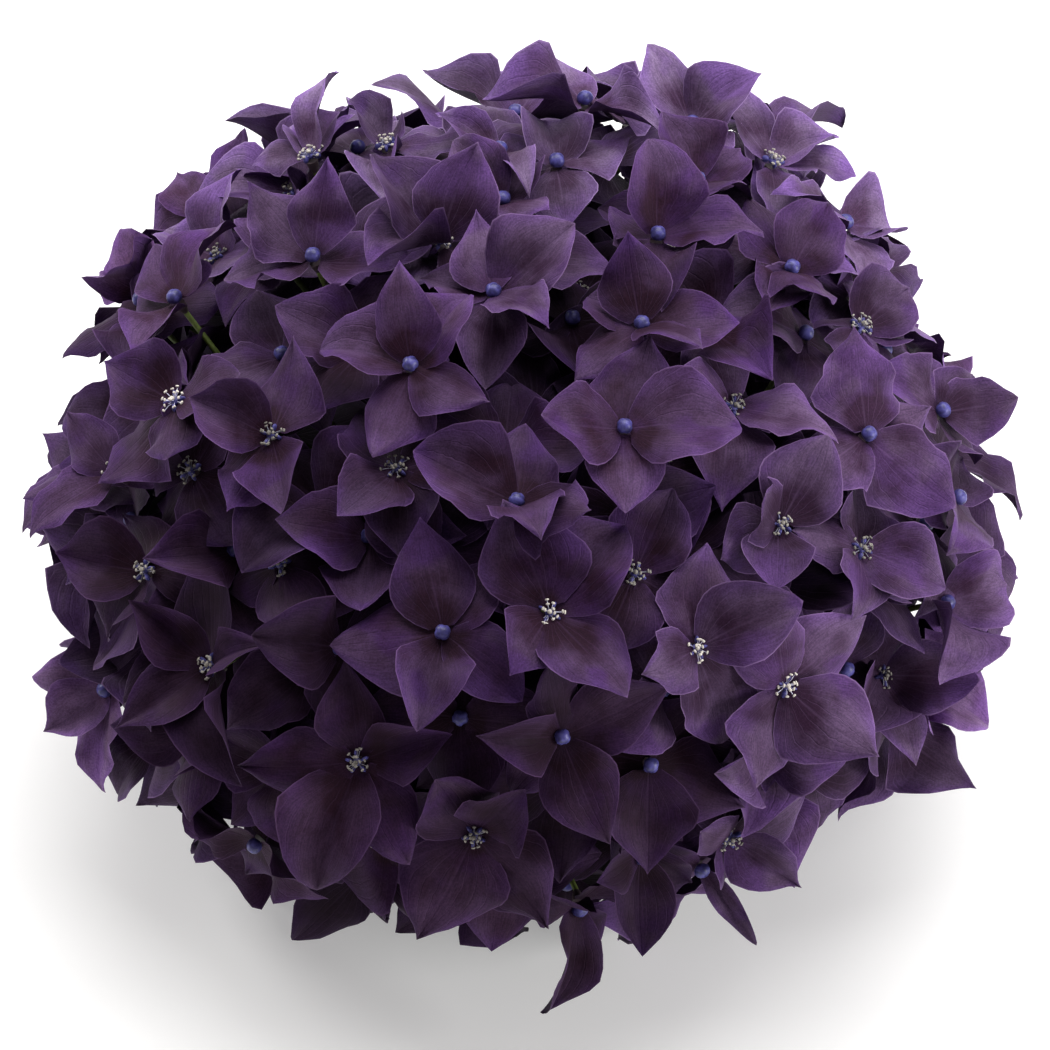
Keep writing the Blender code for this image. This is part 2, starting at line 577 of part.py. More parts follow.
def keep_one_body(mesh):
    """Fill sealed hollows and drop loose scraps: only the island of largest volume stays."""
    work = bmesh.new()
    work.from_mesh(mesh)
    bmesh.ops.triangulate(work, faces=work.faces[:])
    waiting = set(work.verts)
    islands = []
    while waiting:
        island, edge = set(), [waiting.pop()]
        while edge:
            vert = edge.pop()
            island.add(vert)
            for link in vert.link_edges:
                other = link.other_vert(vert)
                if other in waiting:
                    waiting.discard(other)
                    edge.append(other)
        faces = {face for vert in island for face in vert.link_faces}
        volume = sum(f.verts[0].co.dot(f.verts[1].co.cross(f.verts[2].co)) for f in faces) / 6
        islands.append((volume, island))
    islands.sort(key=lambda item: item[0])
    for _, island in islands[:-1]:
        bmesh.ops.delete(work, geom=list(island), context="VERTS")
    work.to_mesh(mesh)
    work.free()


def join_shapes(name, shapes, material):
    """Join closed shapes that run into each other into one closed body."""
    scene = bpy.context.scene.collection
    pool = bpy.data.collections.new(name + "_shapes")
    scene.children.link(pool)
    body = new_object(name, shapes[0], material, scene)
    for k, shape in enumerate(shapes[1:]):
        new_object("%s_shape_%d" % (name, k), shape, material, pool)
    join = body.modifiers.new("join", "BOOLEAN")
    join.operation = "UNION"
    join.operand_type = "COLLECTION"
    join.collection = pool
    join.solver = "EXACT"
    graph = bpy.context.evaluated_depsgraph_get()
    joined = bpy.data.meshes.new_from_object(body.evaluated_get(graph))
    body.modifiers.clear()
    body.data = joined
    joined.name = name
    for thing in list(pool.objects):
        bpy.data.objects.remove(thing)
    bpy.data.collections.remove(pool)
    keep_one_body(joined)
    joined.materials.clear()
    joined.materials.append(material)
    for face in joined.polygons:
        face.material_index = 0


def main():
    clear_scene()
    scene = bpy.context.scene.collection
    green = finish("green_stalk", "6E7A3C", 0.6)
    purple = finish("purple_sepals", "46344F", 0.7)
    florets, leaders = grow_florets()
    sprays = grow_sprays(florets, leaders)

    stalk = stalk_shape()
    new_object("flower_stalk", stalk, green, scene)
    stems = [tree(stalk)]
    for name, spray in sprays.items():
        new_object("ray_" + name, spray["ray"], green, scene)
        stems.append(tree(spray["ray"]))
        stems.append(tree(spray["stem"]))

    set_sepals(florets, stems)
    for name, spray in sprays.items():
        kept = [f for f in spray["florets"] if len(f.sepals) - f.sepals.count(None) >= FEWEST_SEPALS]
        shapes = [spray["stem"]] + [f.pedicel for f in kept] + [floret_solid(f) for f in kept]
        join_shapes("spray_" + name, shapes, purple)


main()
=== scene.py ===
"""Cut hydrangea flower head, dressed: veined sepals, blue buds, stamens, pedicels, rays and stalk.

The head stands face up on the flat cut of its stalk, and the origin is the middle of that cut. The
florets are grown again by the rule of the solids, and then carried on to finer shapes in the same
places. What looks like petals are sepals, the broad coloured leaves of each sterile floret.
"""

import math
import random

import bpy
import numpy as np
from bpy.props import FloatProperty, FloatVectorProperty, IntProperty, PointerProperty
from mathutils import Matrix, Vector
from mathutils.bvhtree import BVHTree


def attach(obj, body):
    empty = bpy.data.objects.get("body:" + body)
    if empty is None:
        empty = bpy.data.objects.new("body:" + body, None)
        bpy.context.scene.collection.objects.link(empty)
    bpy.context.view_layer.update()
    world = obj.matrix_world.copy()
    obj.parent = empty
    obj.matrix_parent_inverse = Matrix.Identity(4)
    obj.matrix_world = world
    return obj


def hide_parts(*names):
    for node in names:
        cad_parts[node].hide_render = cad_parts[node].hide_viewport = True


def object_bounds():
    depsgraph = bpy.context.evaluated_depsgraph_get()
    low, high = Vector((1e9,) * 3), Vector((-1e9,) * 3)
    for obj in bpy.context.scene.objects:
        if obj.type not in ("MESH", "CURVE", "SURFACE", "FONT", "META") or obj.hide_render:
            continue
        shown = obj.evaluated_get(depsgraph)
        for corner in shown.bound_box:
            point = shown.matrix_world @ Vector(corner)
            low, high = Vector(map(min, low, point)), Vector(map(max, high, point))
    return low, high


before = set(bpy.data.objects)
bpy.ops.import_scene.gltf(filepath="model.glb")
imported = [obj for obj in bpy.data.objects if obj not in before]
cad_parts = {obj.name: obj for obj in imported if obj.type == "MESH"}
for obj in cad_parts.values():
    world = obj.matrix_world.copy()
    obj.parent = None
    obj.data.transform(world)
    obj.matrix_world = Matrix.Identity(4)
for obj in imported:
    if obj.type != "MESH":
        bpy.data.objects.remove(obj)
CAD_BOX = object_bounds()

bl_info = {
    "name": "Hydrangea flower head",
    "version": (1, 0, 0),
    "blender": (4, 5, 0),
    "location": "3D View > Sidebar > Hydrangea",
    "description": "Dresses a cut hydrangea flower head with sepals, buds, stamens and stems",
    "category": "Object",
}

MM = 0.001
GOLDEN_ANGLE = math.pi * (3 - math.sqrt(5))

# The head: the florets' centres lie on a flattened ball, open round the stalk
HEAD_RADIUS = 94 * MM
HEAD_HALF_HEIGHT = 76 * MM
HEAD_MIDDLE = Vector((0, 0, 70 * MM))
SKIRT_LATITUDE = math.radians(-44)
FACE_UP = 0.45                  # how far a floret turns from the ball's own normal towards the sky
FACE_STRAY = 0.28               # how far a free floret turns any way from there
AIM_STEPS = 5                   # rounds that a floret takes to its place in the view
HEAD_SEED = 20                  # seed of the free florets' turns and tilts
FREE_FLORETS = 66
FLORET_SPACING = 30 * MM
DEEP_FLORETS = 12               # small ones set deep in the widest gaps between the rest
DEEP_LAYER = 11 * MM
DEEP_SPACING = 20 * MM
HIDDEN_SPRAYS = 10
SPRAY_SPACING = 60 * MM
SPREAD_STEPS = 80               # rounds in which added florets push apart
SPREAD_PUSH = 0.25              # share of its way out of a neighbour that a floret takes in a step
FIVE_SHARE = 0.18               # share of the free florets that have five sepals
FREE_LENGTHS = (0.92, 1.12)     # shortest and longest sepals of the free florets, of the usual length
FREE_PITCH = 8                  # degrees that a free floret's sepals rise or sink together, at most
SEPAL_PITCH = 13                # degrees that each rises or sinks more
SEPAL_TURN = 9                  # degrees that each stands off its even place in the ring
LAYERS = (3 * MM, 7 * MM, 0.0, 10 * MM)
SAME_LAYER = 2 * MM             # depths closer than this are one layer
CLOSE_FLORETS = 1.15 * FLORET_SPACING
UNDER_SHOWN = 4 * MM            # how much deeper the free florets of the shown side are set
SHOWN_SIDE = 0.3                # least cosine between the view and a place on the shown side
SHORT_REACH = 0.5               # a sepal that reaches less in the view is part foreshortened and
SHORT_REST = 11 * MM            # part smaller: its length is this share of its reach and this rest
LEAST_REACH = 1.03              # but never under this many times its reach
INNER_FLORETS = 180             # further in than the solids' florets, seen only through the gaps
INNER_LAYERS = (13 * MM, 17 * MM, 21 * MM, 26 * MM, 31 * MM)
INNER_RISE = 4 * MM             # how much less deep they are at the rim of the view
INNER_SPACING = 13 * MM

# The stems
STALK_HEIGHT = 58 * MM
STALK_FOOT_RADIUS = 4.4 * MM
STALK_TIP_RADIUS = 2.9 * MM
STALK_LEAN = Vector((2.0, 1.0, 0)) * MM
RAY_FOOT_RADIUS = 1.25 * MM
RAY_TIP_RADIUS = 0.95 * MM
HUB_REACH = 0.63                # share of the way from the head's middle to its surface
STALK_STEPS = 24
RAY_STEPS = 5
RAY_RING = 6                    # corners of the end of a ray's solid
PEDICEL_RADIUS = 0.6 * MM
PEDICEL_STEPS = 6
PEDICEL_BEND = 0.18             # how far it bows out, as a share of its length
CUP_RADIUS = 1.15 * MM
CUP_DROP = 2.8 * MM
CUP_END = 0.2 * MM              # how far under the sepals' claws the cup ends
# Shares of the way up a cup, and its radius there
CUP_LINE = ((0.3, CUP_RADIUS * 0.8), (0.6, CUP_RADIUS), (1.0, CUP_RADIUS * 1.1))
GAP = 0.32 * MM
STEM_NARROWS = 0.6              # share of the way to its hub at which a spray's stem starts to narrow
STEM_END_RADIUS = RAY_TIP_RADIUS * 0.8
PAST_HUB = 1 * MM               # how far past the hub a spray's stem ends
YOUNG_SHADE = 0.8               # how dark the rays and pedicels are beside the stalk
LIMB_SHAPES = {                 # sides, ribs and the ribs' depth
    "stalk": (48, 8, 0.12 * MM), "rays": (12, 4, 0.05 * MM), "pedicels": (8, 3, 0.03 * MM),
    "cups": (10, 5, 0.06 * MM)}

# The view that the leading florets are placed in: straight from -Y, looking down at 45 degrees
LOOK_DOWN = math.radians(45)
VIEW_RIGHT = Vector((1, 0, 0))
VIEW_UP = Vector((0, math.sin(LOOK_DOWN), math.cos(LOOK_DOWN)))
VIEW_NEAR = Vector((0, -math.cos(LOOK_DOWN), math.sin(LOOK_DOWN)))

# Leading floret of each spray on the shown side: millimetres across and up from the middle of the
# view, depth under the surface in millimetres, and for each sepal the way it points in the view and
# the millimetres that it reaches there; a reach of 0 leaves the sepal lying in the floret's plane
LEADERS = {
    "crest": (14.1, 80.6, -1, ((119, 13), (182, 21), (17, 22), (-16, 17))),
    "crown_left": (-25.9, 71.8, 4, ((80, 7), (140, 10), (5, 0), (-95, 0))),
    "crown_right": (52.2, 68.6, 0, ((119, 24.5), (26, 16), (3, 18.5), (-85, 12))),
    "upper_left": (-40.4, 48.6, 0, ((69, 20), (129, 22), (196, 18.5), (8, 19))),
    "upper_mid": (-4.3, 41.4, 1, ((102, 17), (44, 22.5), (163, 16), (263, 16.5), (-45, 17))),
    "upper_right": (28.6, 52.9, 0, ((94, 21), (150, 11), (-3, 21.5), (-85, 14))),
    "side_left": (-68.2, 19.8, 0, ((20, 15), (149, 18), (217, 24), (255, 11))),
    "middle_left": (-20.8, 26.7, 0, ((95, 21), (53, 19.5), (165, 20), (245, 19), (-26, 18))),
    "middle_right": (21.8, 14.3, -1, ((74, 20.5), (173, 17.5), (-2, 23.5), (-88, 16))),
    "side_right": (70.6, 12.9, 0, ((109, 22), (26, 16), (-48, 22.5), (215, 12))),
    "lower_left": (-61.0, -32.9, 0, ((96, 25), (17, 13.5), (135, 20.5), (217, 23), (-78, 25))),
    "lower_mid": (6.9, -22.5, 0, ((114, 24), (50, 24), (-48, 23.5), (237, 14))),
    "lower_right": (54.1, -37.1, 0, ((39, 22.5), (99, 14.5), (-46, 23.5), (257, 21))),
    "skirt_left": (-31.4, -52.2, 1, ((182, 24.5), (99, 21), (17, 21), (251, 28), (-62, 23))),
    "skirt_right": (9.4, -47.1, 0, ((26, 23.5), (-66, 23.5), (179, 18), (230, 16), (100, 14))),
}
# Other florets that show face on or stand at the rim, given in the same way
FELLOWS = {
    "corner_left": (-41.4, 69.6, 1, ((75, 19.3), (125, 9), (168, 14.5), (45, 11))),
    "upper_corner": (-64.3, 59.0, 3, ((121, 11.5), (198, 15.5), (59, 19.5), (-40, 12))),
    "upper_far_left": (-68.2, 40.4, 2, ((48, 19), (154, 12), (222, 13.5), (114, 14))),
    "rim_upper_left": (-77.1, 43.7, 6, ((156, 11.5), (108, 13), (232, 16), (58, 17), (-30, 0))),
    "crown_mid": (-14.7, 52.0, 4, ((127, 24), (61, 21), (-30, 0), (215, 0))),
    "crown_back": (-3.1, 70.2, 4, ((151, 15), (26, 10), (-60, 0), (-130, 0))),
    "crown_bud": (-2.4, 60.0, 5, ((65, 16), (-8, 9.5), (131, 15.5), (-100, 0))),
    "crown_top": (35.7, 75.7, 0, ((140, 17.5), (54, 13), (9, 15.5), (-60, 9))),
    "crown_inner": (36.7, 64.1, 2, ((131, 14), (-42, 11), (-75, 10), (40, 12))),
    "crown_far_right": (66.5, 55.7, 1, ((167, 17), (116, 11), (-10, 10), (-66, 13.5))),
    "upper_inner": (25.3, 34.9, 2, ((109, 17), (155, 11.5), (6, 20.5), (-33, 15.5), (212, 15))),
    "upper_outer": (55.5, 46.3, 1, ((61, 17), (-57, 10.5), (124, 17), (240, 9))),
    "side_upper_right": (69.6, 34.9, 2, ((137, 9), (-8, 9), (40, 14.5), (-100, 8))),
    "rim_upper_right": (85.7, 17.8, 2, ((46, 12), (-4, 13), (-48, 13.5), (150, 0))),
    "rim_mid_right": (88.8, 0.4, 2, ((-38, 11), (70, 10), (150, 0), (-110, 0))),
    "side_low_right": (69.4, -9.8, 3, ((158, 12.5), (90, 14.5), (-28, 18.5), (265, 14))),
    "rim_right": (86.3, -20.6, 1, ((93, 15.5), (17, 13), (-48, 15), (268, 16.5))),
    "rim_low_right": (83.7, -38.4, 3, ((-86, 22), (-52, 13), (22, 14), (180, 0))),
    "right_low_bud": (75.1, -45.1, 4, ((108, 16.5), (40, 11), (234, 20), (-70, 11))),
    "middle_right_open": (53.1, -4.9, 5, ((64, 20), (208, 10.5), (271, 12), (140, 10))),
    "middle_far_left": (-48.8, 12.9, 2, ((-80, 17.5), (236, 17), (165, 15.5), (76, 20.5), (42, 13.5))),
    "middle_deep": (-23.7, 6.3, 6, ((215, 14.5), (268, 15), (120, 0), (20, 0))),
    "middle_mid": (0.4, -0.4, 1, ((155, 23), (84, 17), (-13, 17.5), (-65, 15))),
    "rim_left": (-80.4, 5.5, 2, ((192, 20.5), (127, 15.5), (224, 21.5), (50, 8))),
    "left_deep": (-64.9, 5.7, 5, ((-62, 16), (224, 18), (150, 12), (60, 0))),
    "left_low_open": (-74.1, -14.1, 3, ((168, 20), (17, 16), (232, 18), (110, 12))),
    "lower_left_deep": (-46.9, -12.9, 5, ((-25, 15.5), (-85, 13), (205, 12), (95, 0))),
    "lower_inner_left": (-14.3, -26.5, 0, ((186, 23), (101, 23.5), (57, 18), (-40, 20), (254, 20))),
    "lower_inner_right": (36.1, -29.6, 0, ((82, 22), (24, 23), (-63, 25), (205, 13))),
    "lower_deep": (23.9, -14.7, 6, ((65, 0), (155, 0), (-115, 0), (-25, 0))),
    "low_bud": (26.9, -52.7, 5, ((-92, 22), (-25, 22), (35, 0), (170, 0))),
    "skirt_mid": (-8.2, -66.9, 2, ((119, 16.5), (242, 25), (-52, 24.5), (40, 13))),
    "skirt_far_right": (43.1, -67.4, 2, ((100, 14.5), (30, 18), (-35, 17.5), (-95, 10), (165, 7))),
    "strip_right": (37.1, -73.5, 4, ((-54, 19.5), (60, 0), (150, 0), (-140, 0))),
    "bottom_mid": (25.5, -71.0, 4, ((-88, 21.5), (-30, 12), (200, 12), (90, 0))),
    "tail": (12.9, -81.2, 3, ((253, 24.3), (-71, 11), (40, 0), (150, 0))),
    "bottom_left": (-31.6, -77.1, 5, ((221, 19), (-10, 10), (100, 0), (-75, 9))),
    "bottom_inner": (-9.2, -79.2, 6, ((213, 18), (-20, 13), (60, 0), (140, 0))),
    "rim_low_left": (-84.7, -39.2, 2, ((174, 17.5), (225, 13.5), (267, 21.5), (41, 12))),
    "crown_behind": (8.4, 67.8, 5, ((100, 11), (18, 16), (168, 15), (-80, 12))),
    "rim_high_right": (72.5, 49.0, 5, ((50, 9), (-52, 12), (150, 12), (-120, 12))),
    "rim_lowest_left": (-81.0, -53.7, 3, ((188, 8), (243, 12.5), (110, 0), (-20, 0))),
    "rim_bottom_left": (-68.4, -60.8, 3, ((200, 14), (-40, 17.5), (110, 0), (30, 0))),
}
# Florets behind the rest that only darken the gaps there, given in the same way
FILLERS = {
    "behind_crown_right": (46.7, 71.4, 9, ((90, 0), (180, 0), (0, 0), (-90, 0))),
    "behind_crown_left": (-32.7, 73.1, 9, ((60, 0), (150, 0), (-30, 0), (240, 0))),
    "behind_far_right": (62.2, 60.6, 8, ((100, 12), (190, 0), (-10, 12), (-80, 0))),
    "behind_upper_right": (58.2, 33.1, 9, ((80, 0), (170, 0), (-10, 0), (260, 0))),
    "behind_tail": (10.8, -79.6, 9, ((90, 0), (180, 0), (0, 0), (-90, 8))),
    "behind_upper_left": (-53.5, 66.5, 7, ((95, 8), (185, 9), (5, 9), (-85, 0))),
    "behind_middle": (-29.0, -7.5, 13, ((90, 0), (180, 0), (0, 0), (-90, 0))),
    "behind_far_side": (82.0, -5.0, 8, ((90, 0), (180, 0), (20, 5), (-90, 0))),
}
# Florets whose sepals are slimmer than the rest, as a share of the usual width
SLIM = {"crest": 0.7, "crown_left": 0.6, "crown_right": 0.66, "crown_back": 0.55, "crown_bud": 0.8,
        "corner_left": 0.5, "upper_corner": 0.75, "upper_left": 0.82, "upper_right": 0.76,
        "middle_left": 0.9, "lower_left": 0.76, "lower_inner_right": 0.92, "rim_left": 0.7,
        "rim_low_left": 0.85, "skirt_left": 0.82, "skirt_right": 0.9, "strip_right": 0.3,
        "bottom_mid": 0.7, "tail": 0.55}
# How far the free florets at the rim of the view stand out from the ball, in millimetres: from the
# right of the view over its top, left and bottom, one value every 15 degrees
RIM_RISE = (2, -4, -1, 7, 5, 1, -8, -16, -1, 8, -6, -14, -7, -7, 12, 6, -7, -5, -5, 4, -7, -2, 5, 6)
RIM_DEPTH = 0.6                 # cosine to the view at which a place is no longer at the rim

# Florets whose middle has opened into stamens, each with how light its stamens are, partly fresh
# against faded and partly painted light and shade; of the free florets a share has opened, and their
# stamens are painted darker, partly as faded and partly as painted shade
OPEN_FLORETS = {
    "corner_left": 1.2, "crown_left": 1.1, "crown_right": 0.9, "crown_mid": 0.8, "side_left": 1.7,
    "side_upper_right": 0.7, "middle_deep": 0.5, "middle_far_left": 0.55, "rim_left": 1.1,
    "left_deep": 0.45, "left_low_open": 0.8, "lower_left_deep": 0.45, "middle_right_open": 0.7,
    "side_low_right": 0.5, "lower_deep": 0.6, "lower_left": 0.9, "lower_mid": 1.5, "lower_right": 1.5,
    "lower_inner_right": 1.3, "skirt_left": 0.6, "skirt_mid": 0.6, "skirt_far_right": 0.6}
OPEN_SHARE = 0.3
DULL_AND_SHADED_STAMENS = 0.6
MIDDLE_LOBES = (4, 5, 4)        # lobes of a bud, and petals of an opened floret, of each form
MIDDLE_RISE = 0.4 * MM          # how far over the sepals' claws a bud or the stamens stand
BUD_TALL = 1.8                  # height of a bud over its radius
BUD_GROOVE = 0.13
GROOVE_POWER = 6                # how narrow the grooves between lobes are
STAMENS = 15
STAMEN_STRAY = 0.3              # how far a stamen stands off its even place in the ring
STAMEN_LEANS = (20, 72)         # least and most degrees from upright
STAMEN_REACHES = (0.7, 1.1)     # shortest and longest, of the usual length
THREAD_FOOT = Vector((0, 0, 0.4 * MM))
THREAD_RADIUS = 0.1 * MM
THREAD_BOW = 0.12               # how far a thread bows up, as a share of its length
THREAD_SIDES = 3
ANTHER_LENGTH = 0.58 * MM
ANTHER_RADIUS = 0.3 * MM
STYLE_LENGTH = 1.0 * MM
STYLE_RADIUS = 0.55 * MM
STYLE_FOOT = Vector((0, 0, 1.3 * MM))
DOME_LENGTH = 1.2 * MM
DOME_SHARE = 0.55               # radius of the dome that carries the stamens, of a bud's
PETAL_LENGTH = 1.7 * MM
PETAL_RADIUS = 0.85 * MM
PETAL_FOOT = Vector((0.9 * MM, 0, 0.6 * MM))
PETAL_LEAN = math.radians(80)

# A sepal's outline: shares of the length out, and of the half width there
SEPAL_PROFILE = ((0.0, 0.10), (0.07, 0.38), (0.15, 0.66), (0.25, 0.89), (0.36, 1.0), (0.46, 0.985),
                 (0.57, 0.89), (0.68, 0.73), (0.79, 0.52), (0.88, 0.31), (0.95, 0.14), (1.0, 0.0))
WIDEST = 0.36                   # share of the length out at which a sepal is widest
SEPAL_ROWS = (0.05, 0.12, 0.20, 0.29, 0.38, 0.47, 0.56, 0.65, 0.73, 0.81, 0.88, 0.95, 1.0)
SEPAL_COLUMNS = (-1.0, -0.78, -0.4, 0.0, 0.4, 0.78, 1.0)
SEPAL_FORMS = 36
# What the forms are dealt: folds along the midrib, a few of them slight and the other way, and for the
# other traits the least and most
FOLDS = (0.15, 0.3, 0.45, 0.62, 0.85)
FOLD_SIDES = (1, 1, 1, 1, -0.5)
FORM_TRAITS = {
    "cup": (-0.7, 0.4), "bulge": (0.0, 0.045), "curl": (-0.8, 0.5), "tip": (-0.8, 0.9),
    "sway": (-0.12, 0.12), "twist": (-0.3, 0.3), "wave": (0.03, 0.13), "beats": (0.8, 2.2)}
FULLNESS = (0.88, 1.1)          # breadth of either side, of the outline's
TAPER = (0.8, 1.5)              # under 1 the outer part is fuller than the outline, and over 1 slimmer
NICKS = (-0.035, 0.02)          # how far the edge goes in and out, of the half width
CLAW_END = 0.4                  # share of the length out by which the claw has opened
CREASE = 0.035                  # half width of the midrib's round crease, of the length
TIP_START = 0.7                 # share of the length out from which the tip bends
TIP_BEND = 4
# How late the curl, the tip's bend, the claw's opening and the edge's wave set in: exponents
CURL_LATE = 1.8
TIP_LATE = 1.5
CLAW_LATE = 1.5
WAVE_LATE = 2.5
WAVE_SPAN = 1.1                 # the wave has died down just before the tip
TEST_ROWS = (2, 4, 6, 8, 10)
TEST_COLUMNS = (0, 1, 3, 5, 6)
CELL_EDGE = 0.03                # margin of a sepal's cell in the map for baked colours

# What a sepal tries until it is clear of its neighbours: degrees added to its pitch and its roll
TURNS_TRIED = (0, 5, -5, 10, -10, 16, -16, 23, -23, 30)
ROLLS_TRIED = (0, 9, -9)
ROLL_STRAY = 15                 # how far each sepal's own roll may start from level
FORMS_TRIED = 8
FAR_SEPALS = 46 * MM            # florets further apart than this can't meet
LEAST_HEIGHT = 0.1 * MM         # of every point but the stalk's over the table
UNDER_TABLE = 0.2 * MM
UNDER_COST = 2                  # crossings that a point under the table counts for
PROUD = 5 * MM                  # how far a sepal may stand out past the solids
PROUD_COST = 20                 # crossings that each coordinate of a point past it counts for

# Which tone each spray's sepals have, partly their own colour and partly painted light and shade: most
# of those at the top and right, where the light falls, are painted lighter
SPRAY_TONE_AND_LIGHT = {
    "crest": "lilac", "crown_right": "lilac", "crown_left": "lilac", "upper_right": "plum",
    "upper_left": "violet", "upper_mid": "violet", "side_right": "violet", "side_left": "plum",
    "middle_left": "plum", "middle_right": "plum", "lower_left": "wine", "lower_mid": "plum",
    "lower_right": "violet", "skirt_left": "wine", "skirt_right": "wine",
    "back_1": "violet", "back_2": "violet", "back_3": "plum", "back_4": "plum", "back_5": "lilac",
    "back_6": "wine", "back_7": "violet", "back_8": "violet", "back_9": "violet", "back_10": "wine",
}

# The lamps: name, place and width in metres, and power as a share of the key's
LAMPS = (("key", Vector((0.22, 0.52, 1.5)), 1.9, 1.0),
         ("rim_right", Vector((1.15, -0.42, 0.36)), 0.6, 0.28),
         ("rim_left", Vector((-1.0, 0.75, 0.75)), 0.6, 0.25))

# Painted light and shade: how much lighter or darker than its spray each named floret is painted, for
# the light or the shade that falls on it
PAINTED_LIGHT_AND_SHADE = {
    "crest": 1.1, "crown_top": 1.1, "corner_left": 1.2, "upper_corner": 1.6, "rim_upper_left": 2.0,
    "upper_far_left": 1.15, "upper_left": 0.9, "crown_mid": 0.9, "upper_right": 0.85,
    "upper_inner": 0.85, "middle_mid": 0.9, "middle_deep": 0.8, "left_deep": 0.65,
    "left_low_open": 0.8, "lower_left_deep": 0.7, "lower_left": 0.85, "rim_low_left": 1.5,
    "rim_bottom_left": 0.6, "rim_lowest_left": 0.7, "rim_right": 1.4, "rim_low_right": 2.3,
    "right_low_bud": 2.1, "rim_mid_right": 0.9, "side_right": 0.92, "side_low_right": 0.8,
    "middle_right_open": 0.85, "upper_outer": 0.88, "lower_deep": 0.8, "low_bud": 0.8,
    "skirt_left": 0.85, "skirt_mid": 0.8, "skirt_right": 0.85, "skirt_far_right": 0.85,
    "bottom_mid": 0.8, "tail": 0.8, "bottom_left": 0.6, "bottom_inner": 0.7}
# Painted shade: sepals are painted darker the deeper their floret lies, for the shade inside the head
PAINTED_SHADE_DEPTH = 44 * MM            # a floret this deep would be black
SURFACE_TONE = 1.1
NAMED_TONES = (0.88, 1.12)      # darkest and lightest of the florets that have a name
FREE_TONES = (0.68, 1.3)
SEPAL_TONES = (0.82, 1.18)      # darkest and lightest sepal of one floret

# The sepals' patterns, in repeats to the metre
CLOUDS = 120.0                  # lighter and darker clouds 8 mm across
FLUSHES = 75.0                  # violet patches 13 mm across
WAVERS = 260.0                  # the veins waver about every 4 mm
MOTTLES = 2500.0                # velvet mottle 0.4 mm wide
# Exponent and share of the colour's clearing towards the tip and towards the edges; the dark claw that
# it clears from is partly the sepals' own colour and partly painted shade under the floret's middle
CLEAR_AND_CLAW_SHADE_OUT = (1.35, 0.8)
CLEAR_SIDE = (2.2, 0.34)
# The margins' flush is partly painted light shining through the thin edges
FLUSH_TINT = (0.8, 0.54, 1.16)  # red, green and blue of a flush, of the edge's colour
FLUSH_SHARE = 0.8
FAN_START = 0.03                # share of the length out from which fibres and veins fan out
FAN_WIDENS = 0.62
FIBRES = (7.0, 26.0, 90.0)      # fibres along and across a sepal, and how another tone shifts them
FIBRE_SHARE = 0.45
MOTTLE_SHARE = 0.55
VEIN_SPACING = 0.19
VEIN_WAVER = 0.16
LIT = 2.6                       # how much lighter than the edge's colour the veins and the rim are
RIM_SHARE = 0.42
GRAIN_RELIEF = 0.6              # height of the velvet's grain beside the depth of a vein
# The stalk's patterns, in repeats to the metre
STREAKS = 1600.0                # green streaks 0.6 mm wide
PORES = 700.0                   # a breathing pore every 1.4 mm
STREAK_LENGTH = 0.18            # a smaller share draws both out further along the stalk
# Soft steps of the patterns: start and end, and low and high where they aren't 0 and 1
STEPS = {
    "clouds": (0.32, 0.68, -0.24, 0.24), "patches": (0.47, 0.62), "margin": (0.4, 0.95, 0.0, 0.7),
    "grain": (0.32, 0.68, 0.71, 1.29), "vein": (0.03, 0.0), "midrib": (0.05, 0.0),
    "fade": (0.85, 0.05, 0.0, 0.08), "rim": (0.955, 1.0), "point": (0.965, 1.0),
    "shades": (0.35, 0.65), "streaks": (0.3, 0.7, 0.7, 1.15), "pores": (0.2, 0.12, 0.0, 0.8)}

# Kinds of nodes, and settings, that come up again and again
MATH = "ShaderNodeMath"
TIMES = {"operation": "MULTIPLY"}
TIMES_PLUS = {"operation": "MULTIPLY_ADD"}
PLUS = {"operation": "ADD"}
OVER = {"operation": "DIVIDE"}
POWER = {"operation": "POWER"}
LARGER = {"operation": "MAXIMUM"}
STEP = "ShaderNodeMapRange"
SOFT = {"interpolation_type": "SMOOTHSTEP"}
NOISE = "ShaderNodeTexNoise"
MIX = "ShaderNodeMix"
COLOURS = {"data_type": "RGBA"}
SHADED = {"data_type": "RGBA", "blend_type": "MULTIPLY"}
ATTRIBUTE = "GeometryNodeInputNamedAttribute"

# Stage
TABLE_HALF = 4.0                # metres from the table's middle to its edges
CLIP = (0.01, 50)               # nearest and furthest that the camera sees, in metres
AIM_RIGHT = 2.04 * MM           # where the camera aims, from the head's middle
AIM_DOWN = 4.69 * MM


def linear(colour):
    """An sRGB hex colour as linear red, green, blue and alpha."""
    parts = [int(colour[k:k + 2], 16) / 255 for k in (0, 2, 4)]
    return (*[c / 12.92 if c <= 0.04045 else ((c + 0.055) / 1.055) ** 2.4 for c in parts], 1)


def colour_property(name, description, colour):
    """A colour that the panel shows, given as sRGB hex."""
    return FloatVectorProperty(name=name, description=description, subtype="COLOR", size=4,
                               default=linear(colour), min=0, max=1)


